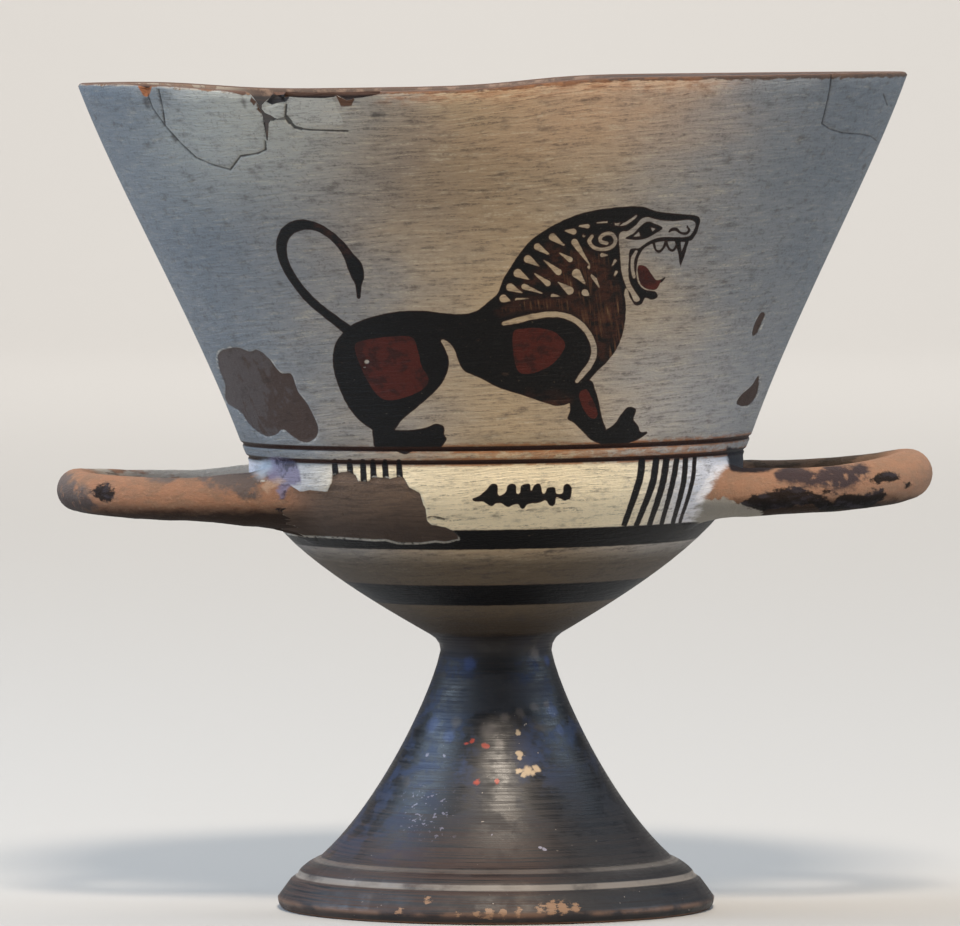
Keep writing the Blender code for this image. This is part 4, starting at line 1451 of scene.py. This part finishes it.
lost_mask = mark("lost", wander * 1.5, -0.1, 0.1)
above_zone = step(z, 86, 88)
bared = Coats(FLAKED_CLAY)
bared.lay(FLAKED_LIGHT, step(ridges, 0.36, 0.6, 0.8))
bared.lay(FLAKED_COOL, above_zone)
bared.lay(FLAKED_WARM, above_zone * step(stains + (x + 42.0) * 0.03, 0.44, 0.56, 0.8))
bared.lay(FLAKED_SHADE, step(uneven(z, 4.0), 76, 71, 0.75))
bared.lay(BARE_CLAY, step(x, -30, -40) * between(z, 75.0, 84.0, 1.5))
bared.lay(FLAKED_SPOT, step(mottle, 0.54, 0.7, 0.5))
below_zone = step(z, 70.2, 69.8) * step(streak, 0.36, 0.5, 0.5)
flecked = any_of(step(streak, 0.5, 0.66, 0.7), below_zone)
skin.lay(bared, lost_mask)
skin.lay(SLIP_BREAK, between(recipe.measure("lost"), -0.3, 0.0, 0.1) * flecked)
skin.lay(PIT_WHITE, step(recipe.measure("pit"), 0.1, 0.35, step(z, 90, 95) * 0.9))

# At the handles' roots: a violet-black blot with a painted highlight on it, flaked slip and a dark
# corner.
BLOT_VIOLET = ink(128, 120, 142)
BLOT_BLACK = ink(66, 62, 80)
BLOT_HIGHLIGHT_WHITE = ink(190, 194, 200)
FLAKE_TAN = ink(190, 160, 134)
CORNER_BLUE = ink(24, 27, 36)

blot_edge = wander + (streak - 0.5)
blot_colour = Coats(BLOT_VIOLET).lay(BLOT_BLACK, step(stains, 0.44, 0.58))
skin.lay(blot_colour, mark("blot", blot_edge, -0.4, 0.4, 0.9))
# Painted highlight: a whitish reflection on the glossy blot.
skin.lay(BLOT_HIGHLIGHT_WHITE, mark("blot shine", blot_edge, -0.8, 0.9, 0.85))
skin.lay(FLAKE_TAN, mark("pale flake", blot_edge, -0.3, 0.5, 0.6))
skin.lay(CORNER_BLUE, mark("dark corner", blot_edge, -0.2, 0.4, 0.95))

# The rim: slip rubbed off the lip, rusty below it, and bare clay in the chips, breaks and cracks;
# the break faces are painted dark below their top as shade.
# The lip's clay where it is worn, chipped, on the right, and at the far left.
OUTER_LIP = (ink(134, 102, 78), ink(88, 70, 60), ink(74, 63, 58), ink(182, 172, 158))
RIM_RUST = ink(160, 108, 72)
SPALL_ORANGE = ink(150, 92, 56)
SPALL_BROWN = ink(92, 66, 52)
CHIP_DARK = ink(52, 50, 52)
CRACK_AND_SHADE_DARK = ink(34, 26, 24)
BROKEN_CLAY = ink(92, 68, 56)


def rubbed_lip(recipe, colours, grain, chipped, dark_side, pale_from):
    """The lip's clay: worn, chipped darker, darkest on the right and pale at the far left."""
    worn, chip, dark, pale = colours
    chipping = recipe.noise(grain, grain, 4.0, 0.7)
    clay_colour = Coats(worn).lay(chip, step(chipping, *chipped))
    clay_colour.lay(dark, step(x, *dark_side))
    return clay_colour.lay(pale, step(x, -44, -52) * step(chipping, pale_from, 0.54, 0.8))


lip_level = uneven(z + x * 0.004, 1.8)
outer_lip = rubbed_lip(recipe, OUTER_LIP, 0.28, (0.42, 0.58), (12, 26, 0.75), 0.48)
skin.lay(outer_lip, step(lip_level, 151.6, 151.9))
rim_stain = between(x, -22, 40, 8.0) * (step(lip_level, 148.4, 151.6) * step(y, 0, -20, 0.45))
skin.lay(RIM_RUST, rim_stain * step(mottle, 0.42, 0.60))
spalled = Coats(SPALL_ORANGE).lay(SPALL_BROWN, step(x + mottle * 2.0, -56, -46))
skin.lay(spalled, mark("chip", wander, -0.1, 0.1))
skin.lay(CHIP_DARK, mark("dark chip", wander, -0.1, 0.1))
# Painted shade: the recessed break faces are dark, with brown clay only at their top.
broken = Coats(CRACK_AND_SHADE_DARK).lay(BROKEN_CLAY, step(z, 151.4, 152.1))
skin.lay(broken, step(recipe.measure("into clay"), 0.12, 0.35) * step(z, 138, 139))
skin.lay(CRACK_AND_SHADE_DARK, mark("crack", wander, -0.13, 0.09, 0.75))

bare = any_of(lost_mask, handle)
rough = recipe.blend(0.62, 0.48, painted)
rough = recipe.blend(rough, 0.40, foot)
rough = recipe.blend(rough, 0.75, bare)
rough = rough + (fine - 0.5) * 0.2
grit = recipe.noise(0.9, 0.9, 5.0, 0.75)
relief = recipe.blend(ridges + fine * 0.35, grit + ridges * 0.25, bare)
recipe.finish(skin.colour, rough, LOW_SPECULAR, relief, *SLIP_RELIEF)


# The foot and the inside: dark glaze over all, streaked by the turning, blue on its sides partly
# from the glaze and partly painted reflection of the cool side lights, painted shade low on the
# right, its two raised edges left pale, the lower one widened by a painted highlight, worn to
# orange clay at the arris and chipped where it has been set down. Each spot on the front of the
# foot has its place and its reach.
CREAM_SPOTS = [
    (4.2, 29.4, 0.9), (4, 33, 0.7), (4.2, 26.3, 0.7), (5.8, 26.4, 1.2), (7.4, 26.7, 0.9),
    (4.9, 25.7, 0.7), (6.6, 26, 0.8), (4.3, 28.6, 0.6),
]
PALE_SMEARS = [
    (-1.1, 33.6, 2.4), (-7.3, 34.9, 1.5), (1.6, 35.9, 1.3), (4.4, 36.7, 1.4), (7.1, 37.4, 1.4),
    (9.3, 37.8, 1.1), (7.1, 47, 1.8), (0.6, 31.4, 1.4),
]
RED_SPOTS = [
    (-1.8, 30.8, 0.8), (-3.5, 24.4, 0.9), (0, 24.6, 0.55), (-5.3, 31.2, 0.55), (-4.4, 31.6, 0.5),
]
WHITE_SPECKS = [
    (-12.6, 28.8, 0.4), (-9.5, 28.8, 0.4), (-0.8, 15.3, 0.35), (7.9, 13.1, 0.35), (8.7, 12.8, 0.35),
]
BLUE_AND_SHEEN_PATCHES = [
    (-4.8, 45.3, 1.8), (9.3, 45.7, 1.4), (-11.6, 34.1, 2.4), (-8.6, 32.3, 1.8), (10.2, 36.9, 2),
    (11.7, 33.3, 1.6),
]
ARRIS_CHIPS = [
    (8, 2.9, 1), (10, 3, 1.3), (12, 2.9, 1.4), (14.2, 3, 1), (-3.6, 2.2, 0.7), (-1.4, 2.3, 0.9),
    (1.2, 2.3, 0.7), (4, 2.4, 0.9), (-12.5, 4.4, 0.5), (-17.5, 2.2, 0.6), (-7, 1.9, 0.5),
]
# Each pale line's lower and upper edge, and how much of it is left. The lower line's width takes
# in a painted highlight on the moulding's edge.
FOOT_LINES = ((8.75, 9.4, 0.28), (5.9, 6.9, 0.8))
GLAZE_SPECULAR = 0.56
GLAZE_RELIEF = (0.05, 0.7)
GLAZE_DARK = ink(21, 21, 25)
GLAZE_WORN = ink(50, 42, 39)
GLAZE_BROWN = ink(66, 44, 34)
BLUE_GLAZE_AND_SHEEN = ink(38, 52, 84)
GLAZE_SHADE = ink(18, 18, 22)
BRIGHT_BLUE_AND_SHEEN = ink(52, 72, 124)
COLLAR_GREY = ink(54, 53, 56)
BLOTCH = ink(88, 76, 66)
SCRATCH = ink(170, 158, 146)
SPRINKLE = ink(122, 118, 134)
NECK_BROWN = ink(30, 24, 22)
ARRIS_CLAY = ink(112, 84, 66)
SMEAR_GREY = ink(96, 88, 84)
SPOT_CREAM = ink(190, 166, 136)
SPOT_WHITE = ink(136, 132, 146)
SPOT_RED = ink(164, 58, 38)
CHIP_CLAY = ink(138, 106, 80)
FOOT_LINE = ink(136, 128, 120)
INSIDE_DARK = ink(30, 25, 23)
INSIDE_RING = ink(58, 43, 34)
INSIDE_WORN = ink(84, 62, 48)
INNER_LIP = (ink(138, 112, 94), ink(88, 68, 56), ink(66, 56, 52), ink(178, 166, 150))

recipe = Recipe(glazed_clay)
x, y, z = recipe.parts(recipe.place)
streaks = recipe.noise(0.04, 3.4, 5.0, 0.7)
blotches = recipe.noise(0.10, 0.16, 5.0, 0.6)
clouds = recipe.noise(0.16, 0.2, 5.0, 0.65)
specks = recipe.noise(0.7, 0.7, 3.0, 0.6)
ragged = (specks - 0.5) * 1.6


def foot_spots(spots, softness, edge):
    """Small spots on the front of the foot, each given by its place and reach."""
    marks = []
    for across, height, reach in spots:
        centre = (across, -math.sqrt(float(outer_radius(height)) ** 2 - across**2), height)
        ends = {0: recipe.place, 1: centre}
        gap = recipe.node("ShaderNodeVectorMath", ends, operation="DISTANCE").outputs["Value"]
        marks.append(step(recipe.sum("ADD", gap, edge), reach, reach * softness))
    return any_of(*marks)


skin = Coats(GLAZE_DARK)
skin.lay(GLAZE_WORN, step(streaks, 0.42, 0.72, 0.9))
skin.lay(GLAZE_BROWN, step(z, 22, 10) * step(streaks, 0.38, 0.6, 0.7))
# Blue on the foot's sides, partly the glaze's own colour and partly a painted reflection of the
# cool side lights.
high_blue_and_sheen = between(z, 22, 50, 7.0) * step(clouds, 0.44, 0.60) * step(y, 4, -10, 0.9)
skin.lay(BLUE_GLAZE_AND_SHEEN, high_blue_and_sheen * step(abs(x), 1, 7))
low_left_blue_and_sheen = between(z, 11, 26, 4.0) * (step(clouds, 0.42, 0.58, 0.4) * step(x, -10, -19))
skin.lay(BLUE_GLAZE_AND_SHEEN, low_left_blue_and_sheen)
# Painted shade: the foot darker low on the right.
skin.lay(GLAZE_SHADE, step(z, 33, 24) * step(x, 4, 16, 0.85))
grey_collar = between(z + (clouds - 0.5) * 9.0, 36.5, 43.0, 1.2) * step(abs(x), 12, 7)
skin.lay(COLLAR_GREY, grey_collar * 0.8)
skin.lay(BLOTCH, step(blotches, 0.60, 0.74, 0.5))
few = step(recipe.noise(1.1, 1.4, 2.0, 0.5), 0.73, 0.77, 0.8)
skin.lay(SCRATCH, few * step(blotches, 0.46, 0.56))
sprinkled = between(x, -17, -8, 1.5) * between(z, 14.5, 23, 1.5)
sprinkle = step(recipe.noise(1.1, 1.5, 2.0, 0.5), 0.62, 0.67, 0.7)
skin.lay(SPRINKLE, sprinkled * (sprinkle * step(y, 0, -4)))
skin.lay(NECK_BROWN, between(z + (clouds - 0.5) * 3.0, 46.6, 51.0, 0.5) * 0.8)
skin.lay(ARRIS_CLAY, between(z, 1.4, 2.2, 0.4) * step(blotches, 0.40, 0.56, 0.8))
# Blue patches: partly glaze colour and partly painted reflection.
skin.lay(BRIGHT_BLUE_AND_SHEEN, foot_spots(BLUE_AND_SHEEN_PATCHES, 0.3, ragged) * 0.6)
skin.lay(SMEAR_GREY, foot_spots(PALE_SMEARS, 0.2, ragged) * 0.8)
skin.lay(SPOT_CREAM, foot_spots(CREAM_SPOTS, 0.5, ragged))
skin.lay(SPOT_WHITE, foot_spots(WHITE_SPECKS, 0.5, ragged))
skin.lay(SPOT_RED, foot_spots(RED_SPOTS, 0.4, ragged))
crumbled = (recipe.noise(0.5, 1.2, 5.0, 0.75) - 0.5) * 5.0
skin.lay(CHIP_CLAY, foot_spots(ARRIS_CHIPS, 0.7, crumbled))
# The pale lines: the lower one partly a painted highlight.
for low, high, strength in FOOT_LINES:
    skin.lay(FOOT_LINE, between(z, low, high, 0.12) * step(blotches, 0.2, 0.5, strength))

inside = step(recipe.measure("into clay"), 0.6, 0.9)
from_middle = recipe.sum("SQRT", x * x + y * y)
turned_rings = recipe.noise(1.0, 0.5, 4.0, 0.6, recipe.join(0.0, 0.0, from_middle + z))
inside_skin = Coats(INSIDE_DARK).lay(INSIDE_RING, step(turned_rings, 0.42, 0.62, 0.8))
inside_skin.lay(INSIDE_WORN, step(blotches, 0.54, 0.72, 0.55))
skin.lay(inside_skin, inside)
inner_lip = rubbed_lip(recipe, INNER_LIP, 0.22, (0.40, 0.56), (14, 30, 0.8), 0.46)
skin.lay(inner_lip, inside * step(z + (blotches - 0.5) * 1.4, 150.2, 151.2, 0.85))
under = step(z, 0.5, 0.1)
skin.lay(BARE_CLAY, under)
rough = step(streaks, 0.4, 0.7) * 0.22 + 0.34
rough = rough + step(clouds, 0.42, 0.6) * 0.16
rough = rough + step(z, 26, 8, 0.12) + step(z, 34, 42, 0.14)
rough = recipe.blend(rough, turned_rings * 0.3 + 0.5, inside)
rough = recipe.blend(rough, 0.88, under)
relief = recipe.blend(streaks + specks * 0.2, turned_rings * 5.0, inside)
recipe.finish(skin.colour, rough, GLAZE_SPECULAR, relief, *GLAZE_RELIEF)

# The dark glaze is on every face of the foot, and on those well inside the wall, below its lip.
INSIDE_FROM = 1.6
LIP_MIDDLE = round_lip(RIM, 0, 0.5)[1]
chalice.data.materials.clear()
chalice.data.materials.append(clay)
chalice.data.materials.append(glazed_clay)
for face in chalice.data.polygons:
    corners = list(face.vertices)
    height = canvas.true[corners, 2]
    low_down = height.max() < FILLET_TOP[1] + 0.1
    within = canvas.into_clay[corners].min() > INSIDE_FROM and height.mean() < LIP_MIDDLE
    face.material_index = 1 if low_down or within else 0

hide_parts("chalice")
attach(chalice, "root")


# The studio: a pale floor that curves up into a plain backdrop, one warm soft light above and
# in front, a cool broad light on each side, and two that light the backdrop and the far floor.
COVE_HALF_WIDTH = 3.6
COVE_FRONT = -3.6
COVE_BACK = 4.6
COVE_ROUND = 1.2
COVE_TOP = 3.0
PAPER = ink(174, 172, 169)
PAPER_ROUGHNESS = 0.9
AIR_COLOUR = (0.9, 0.95, 1.0, 1.0)
AIR_STRENGTH = 0.05
# Each light's name, place, aim, size, power and colour.
LIGHTS = [
    ("key", (0.08, -0.92, 1.45), (0, 0, 0.08), (0.30, 0.30), 29, (1.0, 0.88, 0.74)),
    ("left", (-1.15, -0.05, 0.80), (0, 0, 0.09), (0.9, 0.9), 18.5, (0.62, 0.79, 1.0)),
    ("right", (1.25, -0.05, 0.55), (0, 0, 0.09), (0.7, 0.6), 8, (0.66, 0.82, 1.0)),
    ("backdrop", (0, 0.9, 1.9), (0, 1.5, 0.4), (2.0, 0.6), 32, (1.0, 0.97, 0.93)),
    ("far floor", (0, 3.1, 2.2), (0, 3.9, 0), (1.2, 1.8), 76, (1.0, 0.97, 0.94)),
]


def cove():
    sheet = bmesh.new()
    run = [(COVE_FRONT, 0.0)]
    for angle in range(0, 91, 6):
        turn = math.radians(angle)
        along_floor = COVE_BACK - COVE_ROUND + COVE_ROUND * math.sin(turn)
        run.append((along_floor, COVE_ROUND - COVE_ROUND * math.cos(turn)))
    run.append((COVE_BACK, COVE_TOP))
    left = [sheet.verts.new((-COVE_HALF_WIDTH, *point)) for point in run]
    right = [sheet.verts.new((COVE_HALF_WIDTH, *point)) for point in run]
    for near in range(len(run) - 1):
        face = sheet.faces.new((left[near], right[near], right[near + 1], left[near + 1]))
        face.smooth = True
    return new_object("pale_floor", sheet)


def soft_light(name, place, aim, size, power, colour):
    data = bpy.data.lights.new(name, "AREA")
    data.shape = "RECTANGLE"
    data.size, data.size_y = size
    data.energy = power
    data.color = colour
    lamp = bpy.data.objects.new(name, data)
    lamp.location = place
    lamp.rotation_euler = (Vector(aim) - Vector(place)).to_track_quat("-Z", "Y").to_euler()
    bpy.context.scene.collection.objects.link(lamp)


floor = cove()
paper = bpy.data.materials.new("pale paper")
paper.use_nodes = True
paper.node_tree.nodes["Principled BSDF"].inputs["Base Color"].default_value = PAPER
paper.node_tree.nodes["Principled BSDF"].inputs["Roughness"].default_value = PAPER_ROUGHNESS
floor.data.materials.append(paper)
floor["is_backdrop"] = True
for light in LIGHTS:
    soft_light(*light)
world = bpy.data.worlds.new("studio air")
bpy.context.scene.world = world
world.use_nodes = True
world.node_tree.nodes["Background"].inputs["Color"].default_value = AIR_COLOUR
world.node_tree.nodes["Background"].inputs["Strength"].default_value = AIR_STRENGTH
bpy.context.scene.view_settings.view_transform = "Standard"

# The camera stands at eye height in front of the cup, a long lens looking slightly down.
CAMERA_PLACE = Vector((-0.00294, -1.9, 0.160))
CAMERA_AIM = Vector((-0.00294, 0.0, 0.08165))
LENS_PIXELS = 10363
PHOTO_WIDTH = 960
lens = bpy.data.cameras.new("eye")
lens.sensor_fit = "HORIZONTAL"
lens.sensor_width = 36
lens.lens = LENS_PIXELS * lens.sensor_width / PHOTO_WIDTH
lens.clip_start, lens.clip_end = 0.1, 20
camera = bpy.data.objects.new("eye", lens)
camera.location = CAMERA_PLACE
camera.rotation_euler = (CAMERA_AIM - CAMERA_PLACE).to_track_quat("-Z", "Y").to_euler()
bpy.context.scene.collection.objects.link(camera)
bpy.context.scene.camera = camera

low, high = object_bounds()
{"cad": [list(corner) for corner in cad_box], "visual": [list(low), list(high)]}
